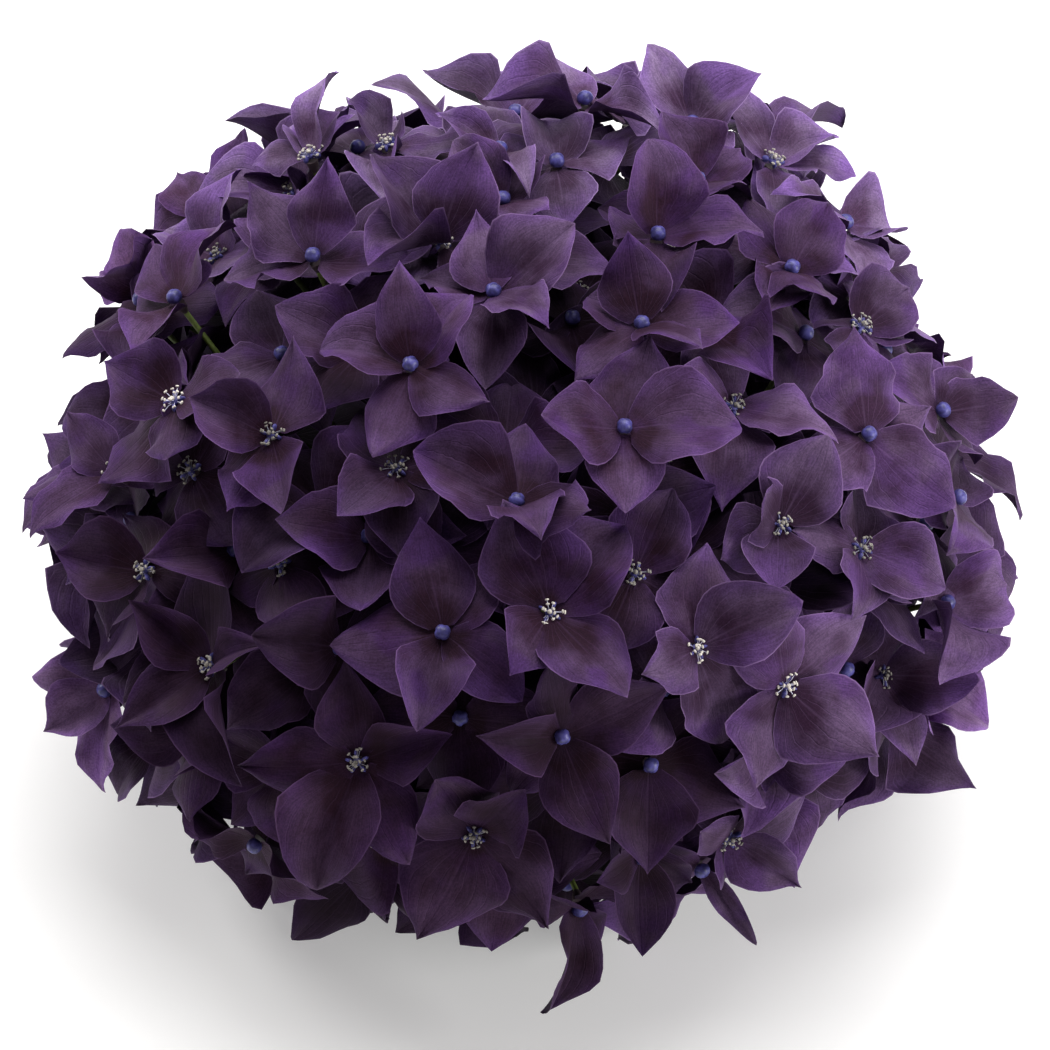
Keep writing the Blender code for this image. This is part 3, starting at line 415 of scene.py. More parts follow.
class FloretSettings(bpy.types.PropertyGroup):
    """Sizes of the florets"""
    sepal_length: FloatProperty(
        name="Sepal length", description="From the floret's middle to the sepal's tip",
        default=20.5 * MM, min=5 * MM, max=60 * MM, unit="LENGTH")
    broad: FloatProperty(
        name="Broad sepals", description="Width over length where a floret has four sepals",
        default=0.89, min=0.3, max=1.6)
    narrow: FloatProperty(
        name="Narrow sepals", description="Width over length where a floret has five sepals",
        default=0.78, min=0.3, max=1.6)
    lift: FloatProperty(
        name="Inner lift", description="How much higher the inner pair of sepals springs",
        default=0.7 * MM, min=0, max=3 * MM, unit="LENGTH")
    spring: FloatProperty(
        name="Inner spring", description="How much steeper the inner pair of sepals rises",
        default=math.radians(8), min=0, max=1, subtype="ANGLE")
    bud_radius: FloatProperty(
        name="Bud radius", description="Radius of the closed blue bud in a floret's middle",
        default=1.7 * MM, min=0.5 * MM, max=5 * MM, unit="LENGTH")
    stamen_length: FloatProperty(
        name="Stamen length", description="Length of a stamen's thread in an opened floret",
        default=3.1 * MM, min=1 * MM, max=8 * MM, unit="LENGTH")
    form_seed: IntProperty(
        name="Form seed", description="Seed of the sepals' folds, curls and waves",
        default=11, min=0)


class ColourSettings(bpy.types.PropertyGroup):
    """Colours of the flower head, as seen in plain daylight; the four sepal pairs run from lilac to
    wine, partly the sepals' own tones and partly painted light and shade
    """
    # The lilac pair is painted for the sprays in the most light, and the wine pair for those in the
    # most shade
    lilac_claw: colour_property("Lilac claw", "Middle of the sepals in the most sun", "39263B")
    lilac_edge: colour_property("Lilac edge", "Edges of the sepals in the most sun", "766384")
    violet_claw: colour_property("Violet claw", "Middle of the violet sepals", "2A182A")
    violet_edge: colour_property("Violet edge", "Edges of the violet sepals", "5E4A69")
    plum_claw: colour_property("Plum claw", "Middle of the plum sepals", "24121E")
    plum_edge: colour_property("Plum edge", "Edges of the plum sepals", "4D3959")
    wine_claw: colour_property("Wine claw", "Middle of the sepals in the most shade", "1D0D17")
    wine_edge: colour_property("Wine edge", "Edges of the sepals in the most shade", "3C2A43")
    bud: colour_property("Bud", "Lit side of a closed bud", "4E4A8E")
    anther: colour_property("Anther", "Pollen on the stamens", "B9B3AA")
    stalk: colour_property("Stalk", "Stalk and rays", "6F7F3E")


class LightSettings(bpy.types.PropertyGroup):
    """The studio light and the camera"""
    key_power: FloatProperty(
        name="Key light", description="Power of the large soft light above and behind the head",
        default=42.0, min=0, unit="POWER")
    fill: FloatProperty(
        name="Fill", description="Brightness of the even light from all round",
        default=0.28, min=0, max=4)
    camera_distance: FloatProperty(
        name="Camera distance", description="From the head's middle to the camera",
        default=5.0, min=0.5, max=20, unit="LENGTH")
    frame_width: FloatProperty(
        name="Frame width", description="Width of the view at the head's middle",
        default=0.2143, min=0.05, max=2, unit="LENGTH")


class Floret:
    """One sterile floret: its centre, the way it faces, and the way and length of each sepal."""

    def __init__(self, place, depth, facing, sepals, name=""):
        self.name = name
        self.centre = HEAD_MIDDLE + place - ball_normal(place) * depth
        self.place = place
        self.depth = depth
        self.facing = facing
        first = facing.orthogonal().normalized()
        second = facing.cross(first)
        angle_of = [math.atan2(s.dot(second), s.dot(first)) for s in sepals]
        order = sorted(range(len(sepals)), key=lambda k: angle_of[k])
        self.lengths = [sepals[k].length for k in order]
        self.pitches = [math.asin(sepals[k].normalized().dot(facing)) for k in order]
        self.ways = [first * math.cos(angle_of[k]) + second * math.sin(angle_of[k]) for k in order]
        self.levels = [k % 2 for k in range(len(sepals))]
        if len(sepals) % 2:
            self.levels[-1] = 0.5
        self.sepals = []


def ball_normal(place):
    """Outward normal of the flattened ball at a place given from the head's middle."""
    return Vector((place.x / HEAD_RADIUS ** 2, place.y / HEAD_RADIUS ** 2,
                   place.z / HEAD_HALF_HEIGHT ** 2)).normalized()


def on_ball(across, up):
    """Nearest point of the ball under a point of the view, or its rim where the point is outside."""
    scale = Vector((1 / HEAD_RADIUS, 1 / HEAD_RADIUS, 1 / HEAD_HALF_HEIGHT))
    flat = (VIEW_RIGHT * across + VIEW_UP * up) * scale
    near = VIEW_NEAR * scale
    half = flat.dot(near) / near.length_squared
    root = half * half - (flat.length_squared - 1) / near.length_squared
    point = flat + near * (math.sqrt(max(root, 0)) - half)
    point.normalize()
    return Vector((point.x / scale.x, point.y / scale.y, point.z / scale.z))


def spread(fixed, count, reach):
    """Add points on the ball, each as far from the rest as it can be, then let them push apart."""
    size = np.array([HEAD_RADIUS, HEAD_RADIUS, HEAD_HALF_HEIGHT])
    skirt = math.sin(SKIRT_LATITUDE)
    turn = np.arange(count * 2) + 0.5
    height = 1 - turn / (count * 2) * (1 - skirt)
    ring = np.sqrt(1 - height * height)
    angle = turn * GOLDEN_ANGLE
    spiral = np.stack([ring * np.cos(angle), ring * np.sin(angle), height], 1) * size
    taken = np.array([tuple(p) for p in fixed])
    room = np.linalg.norm(spiral[:, None] - taken[None], axis=2).min(1)
    free = np.empty((0, 3))
    for _ in range(count):
        best = spiral[int(np.argmax(room))]
        free = np.vstack([free, best])
        room = np.minimum(room, np.linalg.norm(spiral - best, axis=1))
    for _ in range(SPREAD_STEPS):
        apart = free[:, None] - np.concatenate([taken, free])[None]
        far = np.linalg.norm(apart, axis=2)
        far[far == 0] = np.inf
        push = np.clip(reach - far, 0, None) / far
        unit = (free + SPREAD_PUSH * (apart * push[..., None]).sum(1)) / size
        unit /= np.linalg.norm(unit, axis=1)[:, None]
        low = unit[:, 2] < skirt
        unit[low, :2] *= (math.cos(SKIRT_LATITUDE) / np.linalg.norm(unit[low, :2], axis=1))[:, None]
        unit[low, 2] = skirt
        free = unit * size
    return [Vector(p) for p in free]


def shown_floret(name, across, up, depth, sepals, sepal_length):
    """A floret placed in the view, whose sepals point and reach the way they show there."""
    target = Vector((across, up)) * MM
    aim = target
    for _ in range(AIM_STEPS):
        place = on_ball(aim.x, aim.y)
        out = ball_normal(place)
        aim = target + Vector((out.dot(VIEW_RIGHT), out.dot(VIEW_UP))) * depth * MM
    facing = (out + Vector((0, 0, FACE_UP))).normalized()
    lean = VIEW_NEAR.dot(facing)
    spokes = []
    for heading, reach in sepals:
        angle = math.radians(heading)
        flat = VIEW_RIGHT * math.cos(angle) + VIEW_UP * math.sin(angle)
        in_plane = flat - VIEW_NEAR * (flat.dot(facing) / lean)
        if not reach:
            spokes.append(in_plane.normalized() * sepal_length)
            continue
        reach *= MM
        length = max(LEAST_REACH * reach, SHORT_REACH * reach + SHORT_REST)
        rise = math.sqrt(length * length - reach * reach)
        spokes.append(min((flat * reach + VIEW_NEAR * rise, flat * reach - VIEW_NEAR * rise),
                          key=lambda spoke: abs(spoke.dot(facing))))
    return Floret(place, depth * MM, facing, spokes, name)


def free_floret(rng, place, depth, sepal_length):
    """A floret that the view doesn't settle: four or five sepals at a seeded turn."""
    count = 5 if rng.random() < FIVE_SHARE else 4
    stray = Vector((rng.uniform(-1, 1), rng.uniform(-1, 1), rng.uniform(-1, 1))) * FACE_STRAY
    facing = (ball_normal(place) + Vector((0, 0, FACE_UP)) + stray).normalized()
    length = sepal_length * rng.uniform(*FREE_LENGTHS)
    pitch = rng.uniform(-FREE_PITCH, FREE_PITCH)
    turn = rng.uniform(0, math.tau)
    first = facing.orthogonal().normalized()
    second = facing.cross(first)
    spokes = []
    for k in range(count):
        angle = turn + k * math.tau / count + math.radians(rng.uniform(-SEPAL_TURN, SEPAL_TURN))
        rise = math.radians(pitch + rng.uniform(-SEPAL_PITCH, SEPAL_PITCH))
        flat = first * math.cos(angle) + second * math.sin(angle)
        spokes.append((flat * math.cos(rise) + facing * math.sin(rise)) * length)
    return Floret(place, depth, facing, spokes)


def at_rim(place):
    """1 where the ball turns away from the view, and 0 from a little way in."""
    return max(1 - abs(VIEW_NEAR.dot(ball_normal(place))) / RIM_DEPTH, 0)


def rim_rise(place):
    """How far a free floret stands out, which fades from the rim of the view to its middle."""
    turn = math.degrees(math.atan2(place.dot(VIEW_UP), place.dot(VIEW_RIGHT))) % 360
    step = 360 / len(RIM_RISE)
    first = int(turn / step) % len(RIM_RISE)
    share = turn / step - int(turn / step)
    rise = RIM_RISE[first] * (1 - share) + RIM_RISE[(first + 1) % len(RIM_RISE)] * share
    return rise * MM * at_rim(place)


def layer_for(place, placed):
    """The first layer that no close neighbour has, or else the one least used among them."""
    close = [f.depth for f in placed if (f.place - place).length < CLOSE_FLORETS]
    return min(LAYERS, key=lambda layer: sum(abs(depth - layer) < SAME_LAYER for depth in close))


def nearest(leaders, place):
    """Name of the spray whose leading floret is nearest to a place."""
    return min(leaders, key=lambda name: (leaders[name] - place).length)


def grow_florets(sepal_length):
    """All florets, leaders first, each with the name of the spray that it belongs to."""
    rng = random.Random(HEAD_SEED)
    rows = {**LEADERS, **FELLOWS}
    florets = [shown_floret(name, *row, sepal_length) for name, row in rows.items()]
    leaders = dict(zip(LEADERS, [f.place for f in florets]))
    hidden = spread(list(leaders.values()), HIDDEN_SPRAYS, SPRAY_SPACING)
    for k, place in enumerate(hidden):
        leaders["back_%d" % (k + 1)] = place
    fixed = [f.place for f in florets] + hidden
    for place in hidden + spread(fixed, FREE_FLORETS, FLORET_SPACING):
        depth = layer_for(place, florets) - rim_rise(place)
        if VIEW_NEAR.dot(ball_normal(place)) > SHOWN_SIDE:
            depth += UNDER_SHOWN
        florets.append(free_floret(rng, place, depth, sepal_length))
    for place in spread([f.place for f in florets], DEEP_FLORETS, DEEP_SPACING):
        florets.append(free_floret(rng, place, DEEP_LAYER - rim_rise(place), sepal_length))
    solid_florets = len(florets)
    for k, place in enumerate(spread([f.place for f in florets], INNER_FLORETS, INNER_SPACING)):
        depth = INNER_LAYERS[k % len(INNER_LAYERS)] - INNER_RISE * at_rim(place)
        florets.append(free_floret(rng, place, depth, sepal_length))
    florets += [shown_floret(name, *row, sepal_length) for name, row in FILLERS.items()]
    for floret in florets:
        floret.spray = nearest(leaders, floret.place)
        floret.opened = floret.name in OPEN_FLORETS
        if not floret.name:
            floret.opened = rng.random() < OPEN_SHARE
    hubs = {name: spray_hub([f for f in florets[:solid_florets] if f.spray == name])
            for name in leaders}
    return florets, hubs


def stalk_point(height):
    """The stalk's axis at a height, with its slight lean."""
    share = height / STALK_HEIGHT
    return STALK_LEAN * share * share + Vector((0, 0, height))


def stalk_radius(height):
    """The stalk's radius at a height."""
    share = min(max(height / STALK_HEIGHT, 0), 1)
    return STALK_FOOT_RADIUS + (STALK_TIP_RADIUS - STALK_FOOT_RADIUS) * share


def spray_hub(florets):
    """Where a spray's stem branches: inside, under the middle of its florets."""
    middle = sum((f.place for f in florets), Vector()) / len(florets)
    size = Vector((middle.x / HEAD_RADIUS, middle.y / HEAD_RADIUS, middle.z / HEAD_HALF_HEIGHT))
    return HEAD_MIDDLE + middle / size.length * HUB_REACH


class SepalForm:
    """One way that a sepal folds, curls and waves, as unit points that share one layout."""

    def __init__(self, rng):
        self.fold = rng.choice(FOLDS) * rng.choice(FOLD_SIDES)
        for name, span in FORM_TRAITS.items():
            setattr(self, name, rng.uniform(*span))
        self.phases = [rng.uniform(0, math.tau) for _ in range(2)]
        self.fullness = [rng.uniform(*FULLNESS) for _ in range(2)]
        self.taper = rng.uniform(*TAPER)
        self.nicks = [[rng.uniform(*NICKS) for _ in SEPAL_ROWS] for _ in range(2)]
        self.rows = self.make_rows()

    def make_rows(self):
        """Rows of points from the claw to the tip; the tip is a row of one point."""
        rows = []
        spine = Vector((0, 0, 0))
        last = 0.0
        for r, out in enumerate(SEPAL_ROWS):
            slope = self.curl * out ** CURL_LATE
            slope += self.tip * max(out - TIP_START, 0) ** TIP_LATE * TIP_BEND
            spine = spine + Vector((math.cos(slope), 0, math.sin(slope))) * (out - last)
            last = out
            up = Vector((-math.sin(slope), 0, math.cos(slope)))
            sway = self.sway * out * out
            if out == 1.0:
                rows.append([spine + Vector((0, sway, 0))])
                continue
            settle = min(out / CLAW_END, 1) ** CLAW_LATE
            row = []
            for share in SEPAL_COLUMNS:
                hand = 0 if share < 0 else 1
                width = profile(out) ** (self.taper if out > WIDEST else 1)
                half = 0.5 * width * self.fullness[hand] * (1 + self.nicks[hand][r])
                across = share * half
                rise = self.fold * (math.hypot(across, CREASE) - CREASE) + self.cup * across * across
                beat = math.sin(self.beats * math.tau * out + self.phases[hand])
                fading = math.sin(math.pi * min(out * WAVE_SPAN, 1))
                rise += self.wave * abs(share) ** WAVE_LATE * beat * fading
                rise += self.twist * across * out + self.bulge * math.sin(math.pi * abs(share))
                row.append(spine + up * rise * settle + Vector((0, across + sway, 0)))
            rows.append(row)
        return rows


def profile(out):
    """Share of the half width at a share of the length, in a smooth line through the outline."""
    knots = [SEPAL_PROFILE[0]] + list(SEPAL_PROFILE) + [SEPAL_PROFILE[-1]]
    for before, start, end, after in zip(knots, knots[1:], knots[2:], knots[3:]):
        if out <= end[0]:
            span = end[0] - start[0]
            t = (out - start[0]) / span
            leave = (end[1] - before[1]) / (end[0] - before[0]) * span
            arrive = (after[1] - start[1]) / (after[0] - start[0]) * span
            return (start[1] * (2 * t ** 3 - 3 * t ** 2 + 1) + leave * (t ** 3 - 2 * t ** 2 + t)
                    + end[1] * (3 * t ** 2 - 2 * t ** 3) + arrive * (t ** 3 - t ** 2))
    return 0.0


def grid_faces(counts):
    """Faces between rows of points; a row of one point closes the grid with triangles."""
    faces = []
    start = 0
    for count, following in zip(counts, counts[1:]):
        after = start + count
        for c in range(count - 1):
            if following == 1:
                faces.append((start + c, start + c + 1, after))
            else:
                faces.append((start + c, start + c + 1, after + c + 1, after + c))
        start = after
    return [tuple(reversed(face)) for face in faces]


def sepal_matrix(floret, k, form, turn, roll, settings):
    """Turn, scaled turn, place, length and breadth of a sepal for a pitch and a roll in degrees."""
    level = floret.levels[k]
    pitch = floret.pitches[k] + math.radians(turn) + settings.spring * (level - 0.5)
    way = floret.ways[k]
    along = way * math.cos(pitch) + floret.facing * math.sin(pitch)
    up = floret.facing * math.cos(pitch) - way * math.sin(pitch)
    side = up.cross(along)
    breadth = settings.broad if len(floret.ways) == 4 else settings.narrow
    breadth *= SLIM.get(floret.name, 1.0)
    # The form is turned so that its tip, and not its claw, points the way that the floret's rule says
    tip = form.rows[-1][0]
    reach = math.hypot(tip.x, tip.z)
    length = floret.lengths[k] / math.hypot(reach, tip.y * breadth)
    turned = Matrix((along, side, up)).transposed() @ Matrix.Rotation(math.radians(roll), 3, "X")
    turned = turned @ Matrix.Rotation(-math.atan2(tip.y * breadth, reach), 3, "Z")
    turned = turned @ Matrix.Rotation(math.atan2(tip.z, tip.x), 3, "Y")
    scaled = turned @ Matrix.Diagonal((length, length * breadth, length))
    return turned, scaled, floret.centre + floret.facing * settings.lift * level, length, breadth


def set_sepals(florets, forms, settings):
    """Give each sepal the first pitch, roll and form that cross no other sepal, or the least bad."""
    rng = random.Random(settings.form_seed)
    faces = grid_faces([len(TEST_COLUMNS)] * len(TEST_ROWS) + [1])
    tests = []
    for form in forms:
        points = [form.rows[r][c] for r in TEST_ROWS for c in TEST_COLUMNS]
        tests.append(np.array([tuple(p) for p in points + [form.rows[-1][0]]]))
    low = np.array(CAD_BOX[0]) - PROUD
    high = np.array(CAD_BOX[1]) + PROUD
    placed = []
    for floret in sorted(florets, key=lambda f: f.depth):
        close = [tree for tree, centre in placed if (centre - floret.centre).length < FAR_SEPALS]
        for k in sorted(range(len(floret.ways)), key=lambda k: floret.levels[k]):
            best = None
            first = rng.randrange(len(forms))
            lean = rng.uniform(-ROLL_STRAY, ROLL_STRAY)
            options = [(turn, lean + roll, (first + j) % len(forms)) for j in range(FORMS_TRIED)
                       for roll in ROLLS_TRIED for turn in TURNS_TRIED]
            for turn, roll, form in options:
                turned, scaled, place, length, breadth = sepal_matrix(floret, k, forms[form], turn,
                                                                      roll, settings)
                points = tests[form] @ np.array(scaled).T + np.array(place)
                probe = BVHTree.FromPolygons(points.tolist(), faces)
                count = sum(len(probe.overlap(tree)) for tree in close)
                count += int((points[:, 2] < UNDER_TABLE).sum()) * UNDER_COST
                count += int(((points < low) | (points > high)).sum()) * PROUD_COST
                if best is None or count < best[0]:
                    best = (count, form, turned, place, length, breadth, probe)
                if count == 0:
                    break
            floret.sepals.append(best[1:6])
            placed.append((best[6], floret.centre))
            close.append(best[6])


class Head:
    """The grown flower head, which every operator dresses a part of."""

    def __init__(self, settings):
        self.florets, self.hubs = grow_florets(settings.sepal_length)
        rng = random.Random(settings.form_seed)
        self.forms = [SepalForm(rng) for _ in range(SEPAL_FORMS)]
        set_sepals(self.florets, self.forms, settings)


GROWN = []


def grown_head(context):
    """The head, grown once and then shared."""
    if not GROWN:
        GROWN.append(Head(context.scene.hydrangea_florets))
    return GROWN[0]


def add(tree, kind, settings=None, inputs=()):
    """Add a node with its settings, and its inputs as values, or as nodes or sockets to link."""
    node = tree.nodes.new(kind)
    for key, value in (settings or {}).items():
        setattr(node, key, value)
    for key, value in inputs.items() if isinstance(inputs, dict) else enumerate(inputs):
        if isinstance(value, bpy.types.Node):
            value = value.outputs[0]
        if isinstance(value, bpy.types.NodeSocket):
            tree.links.new(value, node.inputs[key])
        else:
            node.inputs[key].default_value = value
    return node


def new_material(name):
    """An empty material, and the tree to fill."""
    material = bpy.data.materials.new(name)
    material.use_nodes = True
    tree = material.node_tree
    tree.nodes.clear()
    return material, tree


def sepal_finish(name, claw, edge):
    """Fresh sepal: matt and velvety, dark at the claw, clearer at the edges, with a thin pale rim; the
    dark claw is partly painted shade, the pale rim partly a painted highlight, and the violet margins
    partly painted light shining through.
    """
    material, tree = new_material(name)
    uv = add(tree, "ShaderNodeUVMap", {"uv_map": "sepal"})
    parts = add(tree, "ShaderNodeSeparateXYZ", None, (uv,))
    place = add(tree, "ShaderNodeTexCoord").outputs["Object"]
    out = parts.outputs[0]
    centred = add(tree, MATH, TIMES_PLUS, (parts.outputs[1], 2.0, -1.0))
    side = add(tree, MATH, {"operation": "ABSOLUTE"}, (centred,))
    # The colour clears from the claw to the tip and from the midrib to the edges, in soft clouds; the
    # dark claw is partly the sepals' own colour and partly painted shade
    outward = add(tree, MATH, POWER, (out, CLEAR_AND_CLAW_SHADE_OUT[0]))
    sideways = add(tree, MATH, POWER, (side, CLEAR_SIDE[0]))
    cleared = add(tree, MATH, TIMES, (sideways, CLEAR_SIDE[1]))
    clear = add(tree, MATH, TIMES_PLUS, (outward, CLEAR_AND_CLAW_SHADE_OUT[1], cleared))
    clouds = add(tree, NOISE, None, {"Vector": place, "Scale": CLOUDS, "Detail": 3.0})
    clouded = add(tree, STEP, SOFT, (clouds, *STEPS["clouds"]))
    whole = add(tree, MATH, {"operation": "ADD", "use_clamp": True}, (clear, clouded))
    # Some patches and the margins are flushed with a deeper violet; at the margins it is partly the
    # sepals' own violet and partly painted light shining through the thin edges
    flushes = add(tree, NOISE, None, {"Vector": place, "Scale": FLUSHES, "Detail": 2.0})
    patches = add(tree, STEP, SOFT, (flushes, *STEPS["patches"]))
    margin = add(tree, STEP, SOFT, (side, *STEPS["margin"]))
    flush = add(tree, MATH, LARGER, (patches, margin))
    flushed = add(tree, MATH, TIMES, (flush, FLUSH_SHARE))
    violet = [c * share for c, share in zip(edge, FLUSH_TINT)] + [1.0]
    margins = add(tree, MIX, COLOURS, {0: flushed, 6: edge, 7: violet}).outputs[2]
    # Painted shade: the dark claw colour stands partly for the shade at the floret's middle
    base = add(tree, MIX, COLOURS, {0: whole, 6: claw, 7: margins}).outputs[2]
    tone = add(tree, "ShaderNodeAttribute", {"attribute_name": "tone"}).outputs["Fac"]
    # Velvet: a fine mottle, and fibres that fan out with the veins, another set on each sepal
    started = add(tree, MATH, PLUS, (out, FAN_START))
    reach = add(tree, MATH, POWER, (started, FAN_WIDENS))
    fanned = add(tree, MATH, OVER, (side, reach))
    signed = add(tree, MATH, OVER, (centred, reach))
    fans = [add(tree, MATH, TIMES, (value, scale)) for value, scale in zip((out, signed, tone), FIBRES)]
    fan = add(tree, "ShaderNodeCombineXYZ", None, fans)
    fibres = add(tree, NOISE, None, {"Vector": fan, "Scale": 1.0, "Detail": 2.0})
    mottle = add(tree, NOISE, None, {"Vector": place, "Scale": MOTTLES, "Detail": 2.0})
    fibrous = add(tree, MATH, TIMES, (fibres, FIBRE_SHARE))
    velvet = add(tree, MATH, TIMES_PLUS, (mottle, MOTTLE_SHARE, fibrous))
    grain = add(tree, STEP, SOFT, (velvet, *STEPS["grain"]))
    shade = add(tree, MATH, TIMES, (tone, grain))
    toned = add(tree, MIX, SHADED, {0: 1.0, 6: base, 7: shade}).outputs[2]
    # Veins: faint lines that all start at the claw and fade on their way to the edge
    wavers = add(tree, NOISE, None, {"Vector": place, "Scale": WAVERS, "Detail": 2.0})
    shaken = add(tree, MATH, TIMES_PLUS, (wavers, VEIN_WAVER, fanned))
    folded = add(tree, MATH, {"operation": "PINGPONG"}, (shaken, VEIN_SPACING))
    veins = add(tree, STEP, SOFT, (folded, *STEPS["vein"]))
    midrib = add(tree, STEP, SOFT, (side, *STEPS["midrib"]))
    lines = add(tree, MATH, LARGER, (veins, midrib))
    fade = add(tree, STEP, SOFT, (out, *STEPS["fade"]))
    drawn = add(tree, MATH, TIMES, (lines, fade))
    lit = [min(c * LIT, 1.0) for c in edge[:3]] + [1.0]
    veined = add(tree, MIX, COLOURS, {0: drawn, 6: toned, 7: lit}).outputs[2]
    # The rim and the tip's point are a thin pale line, partly the sepal's own pale margin and partly a
    # painted highlight where the edge catches the light
    brim = add(tree, STEP, SOFT, (side, *STEPS["rim"]))
    point = add(tree, STEP, SOFT, (out, *STEPS["point"]))
    rim = add(tree, MATH, LARGER, (brim, point))
    thin = add(tree, MATH, TIMES, (rim, RIM_SHARE))
    rimmed = add(tree, MIX, COLOURS, {0: thin, 6: veined, 7: lit}).outputs[2]
    # Relief: sunk veins between the fibres
    height = add(tree, MATH, TIMES_PLUS, (grain, GRAIN_RELIEF, lines))
    bump = add(tree, "ShaderNodeBump", {"invert": True}, {
        "Strength": 0.55, "Distance": 0.12 * MM, "Height": height})
    shader = add(tree, "ShaderNodeBsdfPrincipled", None, {
        "Base Color": rimmed, "Roughness": 0.62, "IOR": 1.4, "Specular IOR Level": 0.12,
        "Specular Tint": linear("D8CCE2"), "Sheen Weight": 0.1, "Sheen Roughness": 0.45,
        "Sheen Tint": linear("B48CC8"), "Normal": bump})
    add(tree, "ShaderNodeOutputMaterial", None, (shader,))
    return material


def soft_finish(name, colour, dark_share, grain, roughness, toned=False):
    """Small fresh plant parts: a colour and its darker shade in patches, and a faint relief."""
    material, tree = new_material(name)
    place = add(tree, "ShaderNodeTexCoord").outputs["Object"]
    patches = add(tree, NOISE, None, {"Vector": place, "Scale": 1 / grain, "Detail": 2.0})
    shades = add(tree, STEP, SOFT, (patches, *STEPS["shades"]))
    dark = [c * dark_share for c in colour[:3]] + [1.0]
    mixed = add(tree, MIX, COLOURS, {0: shades, 6: dark, 7: list(colour)}).outputs[2]
    if toned:
        tone = add(tree, "ShaderNodeAttribute", {"attribute_name": "tone"}).outputs["Fac"]
        mixed = add(tree, MIX, SHADED, {0: 1.0, 6: mixed, 7: tone}).outputs[2]
    bump = add(tree, "ShaderNodeBump", None, {
        "Strength": 0.5, "Distance": 0.05 * MM, "Height": patches})
    shader = add(tree, "ShaderNodeBsdfPrincipled", None, {
        "Base Color": mixed, "Roughness": roughness, "IOR": 1.42, "Normal": bump})
    add(tree, "ShaderNodeOutputMaterial", None, (shader,))
    return material


def stem_finish(name, green):
    """Green flower stalk: streaked lengthwise, with small brown-purple breathing pores."""
    material, tree = new_material(name)
    place = add(tree, "ShaderNodeTexCoord").outputs["Object"]
    drawn_out = add(tree, "ShaderNodeMapping", None, {
        "Vector": place, "Scale": (1.0, 1.0, STREAK_LENGTH)})
    streaks = add(tree, NOISE, None, {"Vector": drawn_out, "Scale": STREAKS, "Detail": 3.0})
    shade = add(tree, STEP, SOFT, (streaks, *STEPS["streaks"]))
    base = add(tree, MIX, SHADED, {0: 1.0, 6: list(green), 7: shade}).outputs[2]
    pores = add(tree, "ShaderNodeTexVoronoi", None, {"Vector": drawn_out, "Scale": PORES})
    spots = add(tree, STEP, SOFT, (pores, *STEPS["pores"]))
    spotted = add(tree, MIX, COLOURS, {0: spots, 6: base, 7: linear("5B4038")}).outputs[2]
    bump = add(tree, "ShaderNodeBump", None, {
        "Strength": 0.6, "Distance": 0.1 * MM, "Height": streaks})
    shader = add(tree, "ShaderNodeBsdfPrincipled", None, {
        "Base Color": spotted, "Roughness": 0.5, "IOR": 1.45, "Normal": bump})
    add(tree, "ShaderNodeOutputMaterial", None, (shader,))
    return material


def floor_finish():
    """Pale matt table top, lit a little from below as a photographer's light table is."""
    material, tree = new_material("pale_matt_table")
    shader = add(tree, "ShaderNodeBsdfPrincipled", None, {
        "Base Color": linear("E2E2E0"), "Roughness": 0.9, "Emission Color": (1, 1, 1, 1),
        "Emission Strength": 0.3})
    add(tree, "ShaderNodeOutputMaterial", None, (shader,))
    return material


def new_tree(name, *sockets):
    """A Geometry Nodes tree with a geometry input and output, and named inputs."""
    tree = bpy.data.node_groups.new(name, "GeometryNodeTree")
    tree.interface.new_socket("Geometry", in_out="INPUT", socket_type="NodeSocketGeometry")
    for label, kind in sockets:
        tree.interface.new_socket(label, in_out="INPUT", socket_type=kind)
    tree.interface.new_socket("Geometry", in_out="OUTPUT", socket_type="NodeSocketGeometry")
    return tree, add(tree, "NodeGroupInput")


def close_tree(tree, given, last):
    """Close a Geometry Nodes tree: its last node's geometry made real, in the given finish."""
    real = add(tree, "GeometryNodeRealizeInstances", None, (last,))
    finish = add(tree, "GeometryNodeSetMaterial", None, {
        "Geometry": real, "Material": given.outputs["Finish"]})
    add(tree, "NodeGroupOutput", None, (finish,))


def scatter_tree():
    """Puts one form of a collection on each point, turned and scaled by the point's attributes."""
    if "put_forms_on_points" in bpy.data.node_groups:
        return bpy.data.node_groups["put_forms_on_points"]
    tree, given = new_tree("put_forms_on_points", ("Forms", "NodeSocketCollection"),
                           ("Finish", "NodeSocketMaterial"))
    forms = add(tree, "GeometryNodeCollectionInfo", None, {
        "Collection": given.outputs["Forms"], "Separate Children": True, "Reset Children": True})
    which = add(tree, ATTRIBUTE, {"data_type": "INT"}, {"Name": "form"})
    turn = add(tree, ATTRIBUTE, {"data_type": "QUATERNION"}, {"Name": "turn"})
    size = add(tree, ATTRIBUTE, {"data_type": "FLOAT_VECTOR"}, {"Name": "size"})
    dealt = add(tree, "GeometryNodeInstanceOnPoints", None, {
        "Points": given.outputs["Geometry"], "Instance": forms, "Pick Instance": True,
        "Instance Index": which, "Rotation": turn, "Scale": size})
    close_tree(tree, given, dealt)
    return tree


